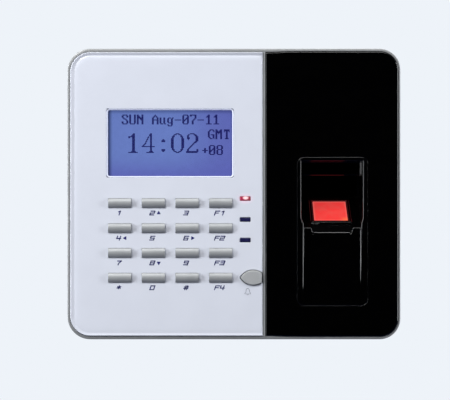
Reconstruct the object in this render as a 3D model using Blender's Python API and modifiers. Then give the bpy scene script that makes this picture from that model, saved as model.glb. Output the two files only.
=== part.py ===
"""Wall-mounted fingerprint scanner terminal, modelled as it comes apart on a bench.

Metres, +Z up. The wall is the plane y = 0 and the terminal faces -Y, so a layer's y runs
from 0 at the wall to about -0.040 at the tops of the keys. x = 0, z = 0 is the middle of
the terminal's outline.
"""

from math import cos, pi, radians, sin, sqrt, tan

import bmesh
import bpy
from mathutils import Matrix, Vector

# ------------------------------------------------------------------ driving dimensions

WIDTH = 0.1680
HEIGHT = 0.1466
LEFT_CORNER = 0.0115
RIGHT_CORNER = 0.0105
GAP = 0.0003
OVERLAP = 0.0003
BEYOND = 0.0060

# Layers, from the wall to the front.
PLATE_FRONT = -0.0015
SHELL_RIM = -0.0004
SHELL_BACK = -0.0019
SHELL_INSIDE = -0.0039
SHELL_FRONT = -0.0235
TRIM_REAR = -0.0200
TRIM_FLANGE = -0.0218
TRIM_FRONT = -0.0378
CHASSIS_REAR = -0.0221
CHASSIS_WEB_REAR = -0.0279
CHASSIS_WEB_FRONT = -0.0297
CHASSIS_FRONT = -0.0357
PANEL_REAR = -0.0360
PANEL_FRONT = -0.0385
BOARD_REAR = -0.0186
BOARD_FRONT = -0.0202
KEYPAD_BOARD_REAR = -0.0301
KEYPAD_BOARD_FRONT = -0.0317

# Outlines seen from the front.
TRIM_WALL = 0.0014
CHASSIS_WALL = 0.0020
SHELL_HALF_WIDTH = 0.0790
SHELL_HALF_HEIGHT = 0.0680
SHELL_CORNER = 0.0090
SHELL_WALL = 0.0020
POCKET_WALL = 0.0025
DIVIDER_LEFT = 0.0147
DIVIDER_RIGHT = 0.0159
PANEL_BEVEL = 0.0009

# Wall plate, its hooks and the tongue that takes the lock screw.
PLATE_HALF_WIDTH = 0.0600
PLATE_TOP = 0.0520
PLATE_BOTTOM = -0.0575
PLATE_CORNER = 0.0040
TONGUE_HALF_WIDTH = 0.0090
TONGUE_ROOT = 0.0020
TONGUE_TOP = -SHELL_HALF_HEIGHT - 0.0004
TONGUE_FRONT = -0.0140
NOTCH_MARGIN = 0.0015
WALL_SCREW_X = 0.0480
WALL_SCREW_Z = 0.0400
WALL_SCREW_RADIUS = 0.0024
HOOK_X = 0.0440
HOOK_Z = 0.0240
HOOK_HALF_WIDTH = 0.0060
HOOK_THICKNESS = 0.0015
HOOK_RISE = 0.0052
HOOK_CLEARANCE = 0.0004
HOOK_SLOT_MARGIN = 0.0006
LIFT = 0.0060
LOCK_Y = -0.0085
LOCK_SHANK_RADIUS = 0.0015
LOCK_BORE_RADIUS = 0.0019
LOCK_BLOCK_HALF_WIDTH = 0.0040
LOCK_BLOCK_HEIGHT = 0.0065
CABLE_HOLE = (-0.0360, 0.0200, -0.0535, -0.0270)
CABLE_CORNER = 0.0020

# Case screw tubes, board posts and the speaker's grille in the rear shell.
TUBE_FRONT = -0.0205
TUBE_RADIUS = 0.0042
TUBE_BORE_RADIUS = 0.0019
HEAD_BORE_FRONT = -0.0082
HEAD_BORE_RADIUS = 0.0032
POST_RADIUS = 0.0030
POST_BORE_BACK = -0.0120
POST_BORE_RADIUS = 0.0015
GUIDE_FRONT = -0.0075
GRILLE_PITCH = 0.0032
GRILLE_HALF_SLOT = 0.0007
GRILLE_RADIUS = 0.0115

# Front chassis.
DIVIDER_RIB = 0.0021
BOSS_BACK = -0.0209
BOSS_RADIUS = 0.0036
BOSS_BORE_FRONT = -0.0275
BOSS_BORE_RADIUS = 0.0017
RIBBON_SLOT = (-0.0420, -0.0220, 0.0080, 0.0180)

# Display: edges of the window, then (front, back) of each layer behind it.
LCD_LEFT = -0.0634
LCD_RIGHT = -0.0010
LCD_BOTTOM = 0.0092
LCD_TOP = 0.0422
LCD_WINDOW_LAYER = (-0.0381, -0.0369)
LCD_FRAME_LAYER = (-0.0356, -0.0317)
LCD_SEAT_FRONT = -0.0348
LCD_GLASS_LAYER = (-0.0345, -0.0333)
LCD_BACKLIGHT_LAYER = (-0.0330, -0.0317)
LCD_BOARD_LAYER = (-0.0314, -0.0300)

# Keys.
KEY_WIDTH = 0.0119
KEY_HEIGHT = 0.0048
KEY_FLANGE = 0.0007
KEY_FRONT = -0.0396
KEY_REAR = -0.0352
KEY_FLANGE_FRONT = -0.0357
KEY_FLANGE_REAR = -0.0348
DOME_FRONT = -0.0345
KEY_X = (-0.0575, -0.0406, -0.0236, -0.00665)
KEY_Z = (-0.00456, -0.0172, -0.0297, -0.0422)
KEY_NAMES = (
    ("key_1", "key_2", "key_3", "key_f1"),
    ("key_4", "key_5", "key_6", "key_f2"),
    ("key_7", "key_8", "key_9", "key_f3"),
    ("key_star", "key_0", "key_hash", "key_f4"),
)
BELL_TIP = 0.0033
BELL_END = 0.0141
BELL_Z = -0.0421
BELL_HALF_HEIGHT = 0.0037
BELL_HALF_LENGTH = 0.0064
BELL_DOME_X = 0.0095
LIGHT_X = 0.0057
LIGHT_Z = (-0.0023, -0.01285, -0.0232)
LIGHT_WIDTH = 0.0053
LIGHT_HEIGHT = 0.0021
KEYPAD_LEFT = -0.0660
KEYPAD_RIGHT = 0.0140
KEYPAD_BOTTOM = -0.0485
KEYPAD_TOP = 0.0010

# Finger well. The platen leans back from the front: its lower edge is the nearer one.
WELL_X = 0.04965
BEZEL_HALF_WIDTH = 0.01775
BEZEL_TOP = 0.01865
BEZEL_BOTTOM = -0.0562
BEZEL_CORNER = 0.0035
BEZEL_FRONT = -0.0386
BEZEL_REAR = -0.0122
BEZEL_BODY_INSET = 0.00055
WELL_TOP = 0.0167
WELL_HALF_WIDTH = 0.01565
WELL_DEEP = -0.0142
WELL_SHELF = (-0.0275, 0.0159, 0.0096)
LEDGE_Y = -0.0370
RAMP_TOP = -0.0182
RAMP_END = -0.0500
RAMP_HALF_WIDTH = 0.0145
SKIN = 0.0020
PLATEN_LEAN = radians(33.4)
PLATEN_MIDDLE = Vector((WELL_X, -0.0241, -0.00865))
PLATEN_WIDTH = 0.0172
PLATEN_LENGTH = 0.0179
HOUSING_WIDTH = 0.0208
HOUSING_LENGTH = 0.0215
HOUSING_DEPTH = 0.0140
HOUSING_RIM = 0.0003
PRISM_DEPTH = 0.0060
PRISM_TAPER = 0.72
TUNNEL_HALF = 0.0070
TUNNEL_FLOOR = 0.0018
LENS_RADIUS = 0.0040
LENS_LENGTH = 0.0037
LENS_BORE_RADIUS = 0.0034
CAMERA_BOARD_HALF = 0.0100
CAMERA_BOARD_THICKNESS = 0.0012
NOSE_FRONT = -0.0372
NOSE_LIP = -0.0199

# Boards, sockets and the parts on them.
BOARD_EDGES = (-0.0660, 0.0280, -0.0580, 0.0580)
CASE_SCREW_X = 0.0710
CASE_SCREW_Z = 0.0600
BOARD_SCREWS = ((-0.0580, 0.0500), (0.0200, 0.0500), (-0.0580, -0.0500))
TAMPER_X = 0.0240
TAMPER_Z = -0.0100
TAMPER_RADIUS = 0.0022
SPEAKER_Z = 0.0340
SPEAKER_RADIUS = 0.0140
CELL_X = -0.0400
CELL_Z = 0.0050
CELL_RADIUS = 0.0100

# name: (colour, roughness, metallic)
FINISHES = {
    "white_gloss": ((0.82, 0.84, 0.88), 0.12, 0.0),
    "black_gloss": ((0.004, 0.004, 0.005), 0.06, 0.0),
    "black_matte": ((0.02, 0.02, 0.022), 0.55, 0.0),
    "silver_paint": ((0.42, 0.43, 0.43), 0.32, 0.85),
    "key_silver": ((0.44, 0.46, 0.46), 0.30, 0.80),
    "steel": ((0.55, 0.56, 0.57), 0.35, 1.0),
    "screw_steel": ((0.40, 0.40, 0.41), 0.30, 1.0),
    "shell_grey": ((0.16, 0.17, 0.18), 0.50, 0.0),
    "lcd_blue": ((0.12, 0.19, 0.50), 0.15, 0.0),
    "clear": ((0.90, 0.93, 0.96), 0.03, 0.0),
    "diffuser": ((0.85, 0.86, 0.88), 0.40, 0.0),
    "silicone": ((0.60, 0.62, 0.64), 0.60, 0.0),
    "board_green": ((0.02, 0.16, 0.07), 0.45, 0.0),
    "platen_red": ((0.85, 0.03, 0.03), 0.08, 0.0),
    "light_red": ((0.90, 0.12, 0.12), 0.20, 0.0),
    "light_dark": ((0.02, 0.02, 0.07), 0.15, 0.0),
    "socket_metal": ((0.62, 0.62, 0.60), 0.28, 1.0),
    "terminal_green": ((0.03, 0.30, 0.14), 0.40, 0.0),
    "ribbon": ((0.62, 0.58, 0.48), 0.50, 0.0),
}

ROUND_STEPS = 20
CORNER_STEPS = 5


# ------------------------------------------------------------------------- the scene


def cleared_scene():
    """Empties the scene and returns the collections for the parts and the cutters."""
    for obj in list(bpy.data.objects):
        bpy.data.objects.remove(obj, do_unlink=True)
    found = []
    for name in ("fingerprint_terminal", "cutters"):
        collection = bpy.data.collections.new(name)
        bpy.context.scene.collection.children.link(collection)
        found.append(collection)
    return found


PARTS, CUTTERS = cleared_scene()


def material_of(finish):
    name = "finish_" + finish
    if name in bpy.data.materials:
        return bpy.data.materials[name]
    colour, roughness, metallic = FINISHES[finish]
    material = bpy.data.materials.new(name)
    material.use_nodes = True
    shader = material.node_tree.nodes["Principled BSDF"]
    shader.inputs["Base Color"].default_value = (*colour, 1.0)
    shader.inputs["Roughness"].default_value = roughness
    shader.inputs["Metallic"].default_value = metallic
    material.diffuse_color = (*colour, 1.0)
    return material


def added(name, mesh, finish=None):
    """A new object: a part if it has a finish, and a cutter if it has none."""
    obj = bpy.data.objects.new(name, mesh)
    if finish is None:
        CUTTERS.objects.link(obj)
        obj.hide_render = True
        obj.display_type = "WIRE"
        return obj
    PARTS.objects.link(obj)
    if not mesh.materials:
        mesh.materials.append(material_of(finish))
    return obj


# ---------------------------------------------------------------------- basic shapes


def mesh_from(form, name):
    mesh = bpy.data.meshes.new(name)
    form.normal_update()
    form.to_mesh(mesh)
    form.free()
    return mesh


def box_into(form, low, high):
    """Adds a box to a bmesh, from its lowest corner to its highest."""
    low, high = Vector(low), Vector(high)
    matrix = Matrix.Translation((low + high) / 2) @ Matrix.Diagonal((*(high - low), 1.0))
    return bmesh.ops.create_cube(form, size=1.0, matrix=matrix)["verts"]


def rod_into(form, start, end, radius, end_radius=None, sides=ROUND_STEPS):
    """Adds a rod or a frustum to a bmesh, from the start point to the end point."""
    start, end = Vector(start), Vector(end)
    turn = (end - start).to_track_quat("Z", "Y").to_matrix().to_4x4()
    bmesh.ops.create_cone(
        form,
        cap_ends=True,
        segments=sides,
        radius1=radius,
        radius2=radius if end_radius is None else end_radius,
        depth=(end - start).length,
        matrix=Matrix.Translation((start + end) / 2) @ turn,
    )


def boxes(name, corners, finish=None):
    """One object that holds a box for each (low, high) pair."""
    form = bmesh.new()
    for low, high in corners:
        box_into(form, low, high)
    return added(name, mesh_from(form, name), finish)


def rods(name, ends, radius, finish=None, sides=ROUND_STEPS):
    """One object that holds a rod for each (start, end) pair."""
    form = bmesh.new()
    for start, end in ends:
        rod_into(form, start, end, radius, sides=sides)
    obj = added(name, mesh_from(form, name), finish)
    smoothed(obj)
    return obj


def smoothed(obj):
    obj.data.shade_smooth()
    obj.data.set_sharp_from_angle(angle=radians(40))


def rounded_outline(left, right, bottom, top, radii, steps=CORNER_STEPS):
    """A rounded rectangle. Radii: bottom left, bottom right, top right, top left."""
    corners = ((left, bottom), (right, bottom), (right, top), (left, top))
    inward = ((1, 1), (-1, 1), (-1, -1), (1, -1))
    points = []
    for index, ((x, z), (sx, sz), radius) in enumerate(zip(corners, inward, radii)):
        if radius == 0:
            points.append((x, z))
            continue
        for step in range(steps + 1):
            angle = pi + index * pi / 2 + step / steps * pi / 2
            across = x + sx * radius + radius * cos(angle)
            up = z + sz * radius + radius * sin(angle)
            points.append((across, up))
    return points


def even_outline(half_width, half_height, radius, x=0.0, z=0.0, steps=CORNER_STEPS):
    edges = (x - half_width, x + half_width, z - half_height, z + half_height)
    return rounded_outline(*edges, (radius,) * 4, steps)


def slab(name, outline, y_front, y_back, finish=None):
    """An outline in the XZ plane, as a filled curve with thickness, made a mesh."""
    curve = bpy.data.curves.new(name, "CURVE")
    curve.dimensions = "2D"
    curve.fill_mode = "BOTH"
    curve.extrude = (y_back - y_front) / 2
    spline = curve.splines.new("POLY")
    spline.points.add(len(outline) - 1)
    spline.use_cyclic_u = True
    for point, (x, z) in zip(spline.points, outline):
        point.co = (x, z, 0.0, 1.0)
    carrier = bpy.data.objects.new(name, curve)
    PARTS.objects.link(carrier)
    carrier.location.y = (y_front + y_back) / 2
    carrier.rotation_euler.x = pi / 2
    return from_curve(carrier, finish)


def profile_bar(name, outline, x_left, x_right, finish=None):
    """An outline of (y, z) points, as a filled curve that runs along X, made a mesh."""
    curve = bpy.data.curves.new(name, "CURVE")
    curve.dimensions = "2D"
    curve.fill_mode = "BOTH"
    curve.extrude = (x_right - x_left) / 2
    spline = curve.splines.new("POLY")
    spline.points.add(len(outline) - 1)
    spline.use_cyclic_u = True
    for point, (y, z) in zip(spline.points, outline):
        point.co = (y, z, 0.0, 1.0)
    carrier = bpy.data.objects.new(name, curve)
    PARTS.objects.link(carrier)
    carrier.location.x = (x_left + x_right) / 2
    carrier.rotation_euler = (pi / 2, 0.0, pi / 2)
    return from_curve(carrier, finish)


def from_curve(carrier, finish):
    """A curve's solid as a mesh object with welded caps and whole flat faces."""
    bpy.context.view_layer.update()
    graph = bpy.context.evaluated_depsgraph_get()
    mesh = bpy.data.meshes.new_from_object(carrier.evaluated_get(graph))
    mesh.materials.clear()
    form = bmesh.new()
    form.from_mesh(mesh)
    bmesh.ops.remove_doubles(form, verts=form.verts, dist=1e-6)
    bmesh.ops.dissolve_limit(form, angle_limit=radians(1), verts=form.verts, edges=form.edges)
    bmesh.ops.recalc_face_normals(form, faces=form.faces)
    form.to_mesh(mesh)
    form.free()
    matrix = carrier.matrix_world.copy()
    name = carrier.name
    bpy.data.objects.remove(carrier, do_unlink=True)
    obj = added(name, mesh, finish)
    obj.name = name
    obj.matrix_world = matrix
    return obj


def turned(name, profile, finish, base, direction):
    """A turned piece. The profile's (radius, height) points run from its top to its base."""
    form = bmesh.new()
    points = [form.verts.new((radius, 0.0, height)) for radius, height in profile]
    for upper, lower in zip(points, points[1:]):
        form.edges.new((upper, lower))
    obj = added(name, mesh_from(form, name), finish)
    screw = obj.modifiers.new("Turn", "SCREW")
    screw.steps = screw.render_steps = ROUND_STEPS
    screw.use_merge_vertices = True
    screw.merge_threshold = 1e-6
    screw.use_smooth_shade = False
    obj.location = base
    obj.rotation_euler = Vector(direction).to_track_quat("Z", "Y").to_euler()
    return obj


# ------------------------------------------------------------------------- operations


def cut(obj, *cutters):
    for cutter in cutters:
        modifier = obj.modifiers.new("Cut " + cutter.name, "BOOLEAN")
        modifier.operation = "DIFFERENCE"
        modifier.object = cutter
    return obj


def join(obj, *additions):
    for addition in additions:
        modifier = obj.modifiers.new("Join " + addition.name, "BOOLEAN")
        modifier.operation = "UNION"
        modifier.object = addition
    return obj


def bevelled(obj, width, segments=2, angle=50):
    modifier = obj.modifiers.new("Edges", "BEVEL")
    modifier.width = width
    modifier.segments = segments
    modifier.limit_method = "ANGLE"
    modifier.angle_limit = radians(angle)
    return obj


def on_platen(obj):
    """Puts an object drawn flat, with +Z out of the glass, on the leaning platen."""
    obj.location = PLATEN_MIDDLE
    obj.rotation_euler.x = PLATEN_LEAN
    return obj


def well_floor_z(y, below=0.0):
    """The height of the leaning floor at a depth, or of a line that far below it."""
    return PLATEN_MIDDLE.z + (y - PLATEN_MIDDLE.y) * tan(PLATEN_LEAN) - below / cos(PLATEN_LEAN)


# ---------------------------------------------------------------------- wall and case


def wall_plate():
    """Steel plate with two raised hooks, a cable hole and a tongue for the lock screw."""
    plate = even_outline(PLATE_HALF_WIDTH, (PLATE_TOP - PLATE_BOTTOM) / 2, PLATE_CORNER,
                         z=(PLATE_TOP + PLATE_BOTTOM) / 2)
    obj = slab("wall_plate", plate, PLATE_FRONT, 0.0, "steel")
    tongue_bottom = TONGUE_TOP - HOOK_THICKNESS
    tongue = boxes("tongue", [
        ((-TONGUE_HALF_WIDTH, PLATE_FRONT, tongue_bottom),
         (TONGUE_HALF_WIDTH, 0.0, PLATE_BOTTOM + TONGUE_ROOT)),
    ])
    shelf = boxes("tongue_shelf", [
        ((-TONGUE_HALF_WIDTH, TONGUE_FRONT, tongue_bottom),
         (TONGUE_HALF_WIDTH, PLATE_FRONT / 2, TONGUE_TOP)),
    ])
    arms, fingers = [], []
    finger_back = SHELL_INSIDE - HOOK_CLEARANCE
    finger_front = finger_back - HOOK_THICKNESS
    for side in (-1, 1):
        left = side * HOOK_X - HOOK_HALF_WIDTH
        right = side * HOOK_X + HOOK_HALF_WIDTH
        arms.append(((left, finger_front, HOOK_Z - HOOK_THICKNESS),
                     (right, PLATE_FRONT / 2, HOOK_Z)))
        fingers.append(((left, finger_front, HOOK_Z - HOOK_THICKNESS / 2),
                        (right, finger_back, HOOK_Z + HOOK_RISE)))
    screw_holes = [((x, -BEYOND, z), (x, BEYOND, z))
                   for x in (-WALL_SCREW_X, WALL_SCREW_X)
                   for z in (-WALL_SCREW_Z, WALL_SCREW_Z)]
    left, right, bottom, top = CABLE_HOLE
    hole = rounded_outline(left, right, bottom, top, (CABLE_CORNER,) * 4)
    cable = slab("cable_cut", hole, -BEYOND, BEYOND)
    join(obj, tongue, shelf, boxes("hook_arms", arms), boxes("hook_fingers", fingers))
    lock_hole = rods("lock_hole", [((0.0, LOCK_Y, tongue_bottom - BEYOND),
                                    (0.0, LOCK_Y, TONGUE_TOP + BEYOND))], LOCK_BORE_RADIUS)
    cut(obj, cable, rods("wall_screw_holes", screw_holes, WALL_SCREW_RADIUS), lock_hole)


def lock_screw():
    head_top = TONGUE_TOP - HOOK_THICKNESS - GAP
    head_height = 0.0019
    shank = 0.0074
    profile = (
        (0.0, head_height + shank),
        (LOCK_SHANK_RADIUS - 0.0005, head_height + shank),
        (LOCK_SHANK_RADIUS, head_height + shank - 0.0006),
        (LOCK_SHANK_RADIUS, head_height),
        (0.0027, head_height),
        (0.0027, 0.0005),
        (0.0021, 0.0),
        (0.0, 0.0),
    )
    base = (0.0, LOCK_Y, head_top - head_height)
    turned("lock_screw", profile, "screw_steel", base, (0, 0, 1))


def shell_additions():
    """Everything that stands up inside the rear shell, as cutters to join."""
    root = SHELL_INSIDE + OVERLAP
    tubes = [((x, root, z), (x, TUBE_FRONT, z))
             for x in (-CASE_SCREW_X, CASE_SCREW_X) for z in (-CASE_SCREW_Z, CASE_SCREW_Z)]
    posts = [((x, root, z), (x, BOARD_REAR + GAP, z)) for x, z in BOARD_SCREWS]
    guide = [((TAMPER_X, root, TAMPER_Z), (TAMPER_X, GUIDE_FRONT, TAMPER_Z))]
    floor = -SHELL_HALF_HEIGHT + SHELL_WALL - OVERLAP
    block = [((-LOCK_BLOCK_HALF_WIDTH, LOCK_Y - LOCK_BLOCK_HALF_WIDTH, floor),
              (LOCK_BLOCK_HALF_WIDTH, root, floor + LOCK_BLOCK_HEIGHT))]
    return (
        rods("case_screw_tubes", tubes, TUBE_RADIUS, sides=16),
        rods("board_posts", posts, POST_RADIUS, sides=12),
        rods("tamper_guide", guide, TUBE_RADIUS, sides=16),
        boxes("lock_block", block),
    )


def shell_openings():
    """Holes through the rear shell, as cutters."""
    bores, heads = [], []
    for x in (-CASE_SCREW_X, CASE_SCREW_X):
        for z in (-CASE_SCREW_Z, CASE_SCREW_Z):
            bores.append(((x, BEYOND, z), (x, TUBE_FRONT - BEYOND, z)))
            heads.append(((x, BEYOND, z), (x, HEAD_BORE_FRONT, z)))
    post_bores = [((x, POST_BORE_BACK, z), (x, BOARD_REAR - BEYOND, z)) for x, z in BOARD_SCREWS]
    tamper = [((TAMPER_X, BEYOND, TAMPER_Z), (TAMPER_X, GUIDE_FRONT - BEYOND, TAMPER_Z))]
    lock_top = -SHELL_HALF_HEIGHT + SHELL_WALL + LOCK_BLOCK_HEIGHT - 0.0010
    lock = [((0.0, LOCK_Y, -SHELL_HALF_HEIGHT - BEYOND), (0.0, LOCK_Y, lock_top))]
    slots = []
    slot_half = HOOK_HALF_WIDTH + HOOK_SLOT_MARGIN
    for side in (-1, 1):
        slots.append(((side * HOOK_X - slot_half, SHELL_INSIDE - 0.001,
                       HOOK_Z - HOOK_THICKNESS - LIFT - 0.0005),
                      (side * HOOK_X + slot_half, BEYOND, HOOK_Z + GAP)))
    grille = []
    for index in range(-3, 4):
        x = index * GRILLE_PITCH
        reach = sqrt(GRILLE_RADIUS ** 2 - x ** 2)
        grille.append(((x - GRILLE_HALF_SLOT, SHELL_INSIDE - 0.001, SPEAKER_Z - reach),
                       (x + GRILLE_HALF_SLOT, BEYOND, SPEAKER_Z + reach)))
    left, right, bottom, top = CABLE_HOLE
    bay = rounded_outline(left - 0.002, right + 0.002, bottom - 0.0035, top + 0.001,
                          (CABLE_CORNER,) * 4)
    return (
        rods("case_screw_bores", bores, TUBE_BORE_RADIUS, sides=12),
        rods("case_screw_heads", heads, HEAD_BORE_RADIUS, sides=16),
        rods("post_bores", post_bores, POST_BORE_RADIUS, sides=10),
        rods("tamper_bore", tamper, TAMPER_RADIUS + GAP, sides=16),
        rods("lock_bore", lock, LOCK_BORE_RADIUS, sides=12),
        boxes("hook_slots", slots),
        boxes("speaker_grille", grille),
        slab("cable_bay", bay, SHELL_INSIDE - 0.001, BEYOND),
    )


def rear_shell():
    """Open box with a shallow pocket in its back, where the wall plate lies."""
    outline = even_outline(SHELL_HALF_WIDTH, SHELL_HALF_HEIGHT, SHELL_CORNER)
    obj = slab("rear_shell", outline, SHELL_FRONT, SHELL_RIM, "shell_grey")
    bevelled(obj, 0.0008)
    inside = even_outline(SHELL_HALF_WIDTH - SHELL_WALL, SHELL_HALF_HEIGHT - SHELL_WALL,
                          SHELL_CORNER - SHELL_WALL)
    pocket = even_outline(SHELL_HALF_WIDTH - POCKET_WALL, SHELL_HALF_HEIGHT - POCKET_WALL - 0.0001,
                          SHELL_CORNER - POCKET_WALL)
    notch = ((-TONGUE_HALF_WIDTH - NOTCH_MARGIN, SHELL_BACK, -SHELL_HALF_HEIGHT - BEYOND),
             (TONGUE_HALF_WIDTH + NOTCH_MARGIN, BEYOND, -SHELL_HALF_HEIGHT + 0.0060))
    cut(obj, slab("shell_inside", inside, SHELL_FRONT - BEYOND, SHELL_INSIDE))
    cut(obj, slab("shell_pocket", pocket, SHELL_BACK, BEYOND))
    cut(obj, boxes("tongue_notch", [notch]))
    join(obj, *shell_additions())
    cut(obj, *shell_openings())


def trim_frame():
    """Silver ring round the front. A rear flange closes it down to the shell."""
    half_width, half_height = WIDTH / 2, HEIGHT / 2
    radii = (LEFT_CORNER, RIGHT_CORNER, RIGHT_CORNER, LEFT_CORNER)
    outline = rounded_outline(-half_width, half_width, -half_height, half_height, radii, 8)
    obj = slab("trim_frame", outline, TRIM_FRONT, TRIM_REAR, "silver_paint")
    bevelled(obj, 0.0009, 2)
    radii = [radius - TRIM_WALL for radius in radii]
    bore = rounded_outline(-half_width + TRIM_WALL, half_width - TRIM_WALL,
                           -half_height + TRIM_WALL, half_height - TRIM_WALL, radii, 8)
    seat = even_outline(SHELL_HALF_WIDTH + GAP, SHELL_HALF_HEIGHT + GAP, SHELL_CORNER + GAP)
    cut(obj, slab("trim_bore", bore, TRIM_FRONT - BEYOND, TRIM_FLANGE))
    cut(obj, slab("trim_seat", seat, TRIM_FRONT - BEYOND, TRIM_REAR + BEYOND))


def panel_edges():
    """Half width and half height of what fits inside the trim ring."""
    return WIDTH / 2 - TRIM_WALL - GAP, HEIGHT / 2 - TRIM_WALL - GAP


def front_chassis():
    """Inner frame: a web across the ring, with a wall before it and behind it."""
    half_width, half_height = panel_edges()
    radii = (LEFT_CORNER - TRIM_WALL, RIGHT_CORNER - TRIM_WALL,
             RIGHT_CORNER - TRIM_WALL, LEFT_CORNER - TRIM_WALL)
    outline = rounded_outline(-half_width, half_width, -half_height, half_height, radii)
    obj = slab("front_chassis", outline, CHASSIS_FRONT, CHASSIS_REAR, "black_matte")
    inner_width, inner_height = half_width - CHASSIS_WALL, half_height - CHASSIS_WALL
    corner = LEFT_CORNER - TRIM_WALL - CHASSIS_WALL
    rear = even_outline(inner_width, inner_height, corner)
    left = rounded_outline(-inner_width, DIVIDER_LEFT + 0.0003, -inner_height, inner_height,
                           (corner, 0, 0, corner))
    right = rounded_outline(DIVIDER_RIGHT + DIVIDER_RIB, inner_width, -inner_height, inner_height,
                            (0, corner, corner, 0))
    well = rounded_outline(WELL_X - BEZEL_HALF_WIDTH, WELL_X + BEZEL_HALF_WIDTH,
                           BEZEL_BOTTOM, BEZEL_TOP, (0.002,) * 4)
    cut(obj, slab("chassis_rear", rear, CHASSIS_WEB_REAR, CHASSIS_REAR + BEYOND))
    cut(obj, slab("chassis_left", left, CHASSIS_FRONT - BEYOND, CHASSIS_WEB_FRONT))
    cut(obj, slab("chassis_right", right, CHASSIS_FRONT - BEYOND, CHASSIS_WEB_FRONT))
    cut(obj, slab("chassis_well", well, CHASSIS_FRONT - BEYOND, CHASSIS_REAR + BEYOND))
    left, right, bottom, top = RIBBON_SLOT
    slot = ((left, CHASSIS_FRONT, bottom), (right, CHASSIS_REAR, top))
    places = [(x, z) for x in (-CASE_SCREW_X, CASE_SCREW_X) for z in (-CASE_SCREW_Z, CASE_SCREW_Z)]
    bosses = [((x, CHASSIS_WEB_REAR - OVERLAP, z), (x, BOSS_BACK, z)) for x, z in places]
    bores = [((x, BOSS_BORE_FRONT, z), (x, CHASSIS_REAR + BEYOND, z)) for x, z in places]
    cut(obj, boxes("ribbon_slot", [slot]))
    join(obj, rods("chassis_bosses", bosses, BOSS_RADIUS, sides=16))
    cut(obj, rods("chassis_bores", bores, BOSS_BORE_RADIUS, sides=12))


def case_screws():
    profile = (
        (0.0, 0.0202),
        (0.0009, 0.0202),
        (0.0013, 0.0196),
        (0.0013, 0.0018),
        (0.0027, 0.0018),
        (0.0027, 0.0005),
        (0.0022, 0.0),
        (0.0, 0.0),
    )
    places = [(x, z) for z in (CASE_SCREW_Z, -CASE_SCREW_Z) for x in (-CASE_SCREW_X, CASE_SCREW_X)]
    for number, (x, z) in enumerate(places, 1):
        turned(f"case_screw_{number}", profile, "screw_steel", (x, -0.0061, z), (0, -1, 0))


# --------------------------------------------------------------------- front surfaces


def key_places():
    """(name, x, z) of each of the sixteen keys."""
    for names, z in zip(KEY_NAMES, KEY_Z):
        for name, x in zip(names, KEY_X):
            yield name, x, z


def bell_outline(margin=0.0):
    """A lens with its tip on the left, cut off flat beside the divider."""
    half_height = BELL_HALF_HEIGHT + margin
    half_length = BELL_HALF_LENGTH + margin * 1.6
    radius = (half_length ** 2 + half_height ** 2) / (2 * half_height)
    middle = BELL_TIP + BELL_HALF_LENGTH
    tip = middle - half_length
    end = BELL_END + margin
    steps = 8
    upper = []
    for step in range(steps + 1):
        x = tip + (end - tip) * step / steps
        rise = sqrt(radius ** 2 - (x - middle) ** 2) - (radius - half_height)
        upper.append((x, BELL_Z + max(rise, 0.0)))
    lower = [(x, 2 * BELL_Z - z) for x, z in reversed(upper[1:])]
    return upper + lower


def white_panel():
    half_width, half_height = panel_edges()
    corner = LEFT_CORNER - TRIM_WALL - GAP
    outline = rounded_outline(-half_width, DIVIDER_LEFT - GAP, -half_height, half_height,
                              (corner, 0, 0, corner), 8)
    obj = slab("white_front_panel", outline, PANEL_FRONT, PANEL_REAR, "white_gloss")
    bevelled(obj, PANEL_BEVEL, 3)
    front, back = PANEL_FRONT - BEYOND, PANEL_REAR + BEYOND
    holes = [((LCD_LEFT - GAP, front, LCD_BOTTOM - GAP), (LCD_RIGHT + GAP, back, LCD_TOP + GAP))]
    half_width = KEY_WIDTH / 2 + GAP
    half_height = KEY_HEIGHT / 2 + GAP
    for _, x, z in key_places():
        holes.append(((x - half_width, front, z - half_height),
                      (x + half_width, back, z + half_height)))
    for z in LIGHT_Z:
        holes.append(((LIGHT_X - LIGHT_WIDTH / 2 - GAP, front, z - LIGHT_HEIGHT / 2 - GAP),
                      (LIGHT_X + LIGHT_WIDTH / 2 + GAP, back, z + LIGHT_HEIGHT / 2 + GAP)))
    bell = [(x + 0.002 if x > BELL_END else x, z) for x, z in bell_outline(GAP)]
    cut(obj, boxes("panel_holes", holes), slab("bell_hole", bell, front, back))


def black_panel():
    half_width, half_height = panel_edges()
    corner = RIGHT_CORNER - TRIM_WALL - GAP
    outline = rounded_outline(DIVIDER_RIGHT + GAP, half_width, -half_height, half_height,
                              (0, corner, corner, 0), 8)
    obj = slab("black_front_panel", outline, PANEL_FRONT, PANEL_REAR, "black_gloss")
    bevelled(obj, PANEL_BEVEL, 3)
    hole = rounded_outline(WELL_X - BEZEL_HALF_WIDTH - GAP, WELL_X + BEZEL_HALF_WIDTH + GAP,
                           BEZEL_BOTTOM - GAP, BEZEL_TOP + GAP, (BEZEL_CORNER + GAP,) * 4)
    cut(obj, slab("bezel_hole", hole, PANEL_FRONT - BEYOND, PANEL_REAR + BEYOND))


def divider_strip():
    half_height = panel_edges()[1]
    obj = boxes("divider_strip", [((DIVIDER_LEFT, PANEL_FRONT + 0.0002, -half_height),
                                   (DIVIDER_RIGHT, PANEL_REAR, half_height))], "silver_paint")
    bevelled(obj, 0.0002, 1)


# ----------------------------------------------------------------------------- display


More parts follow.
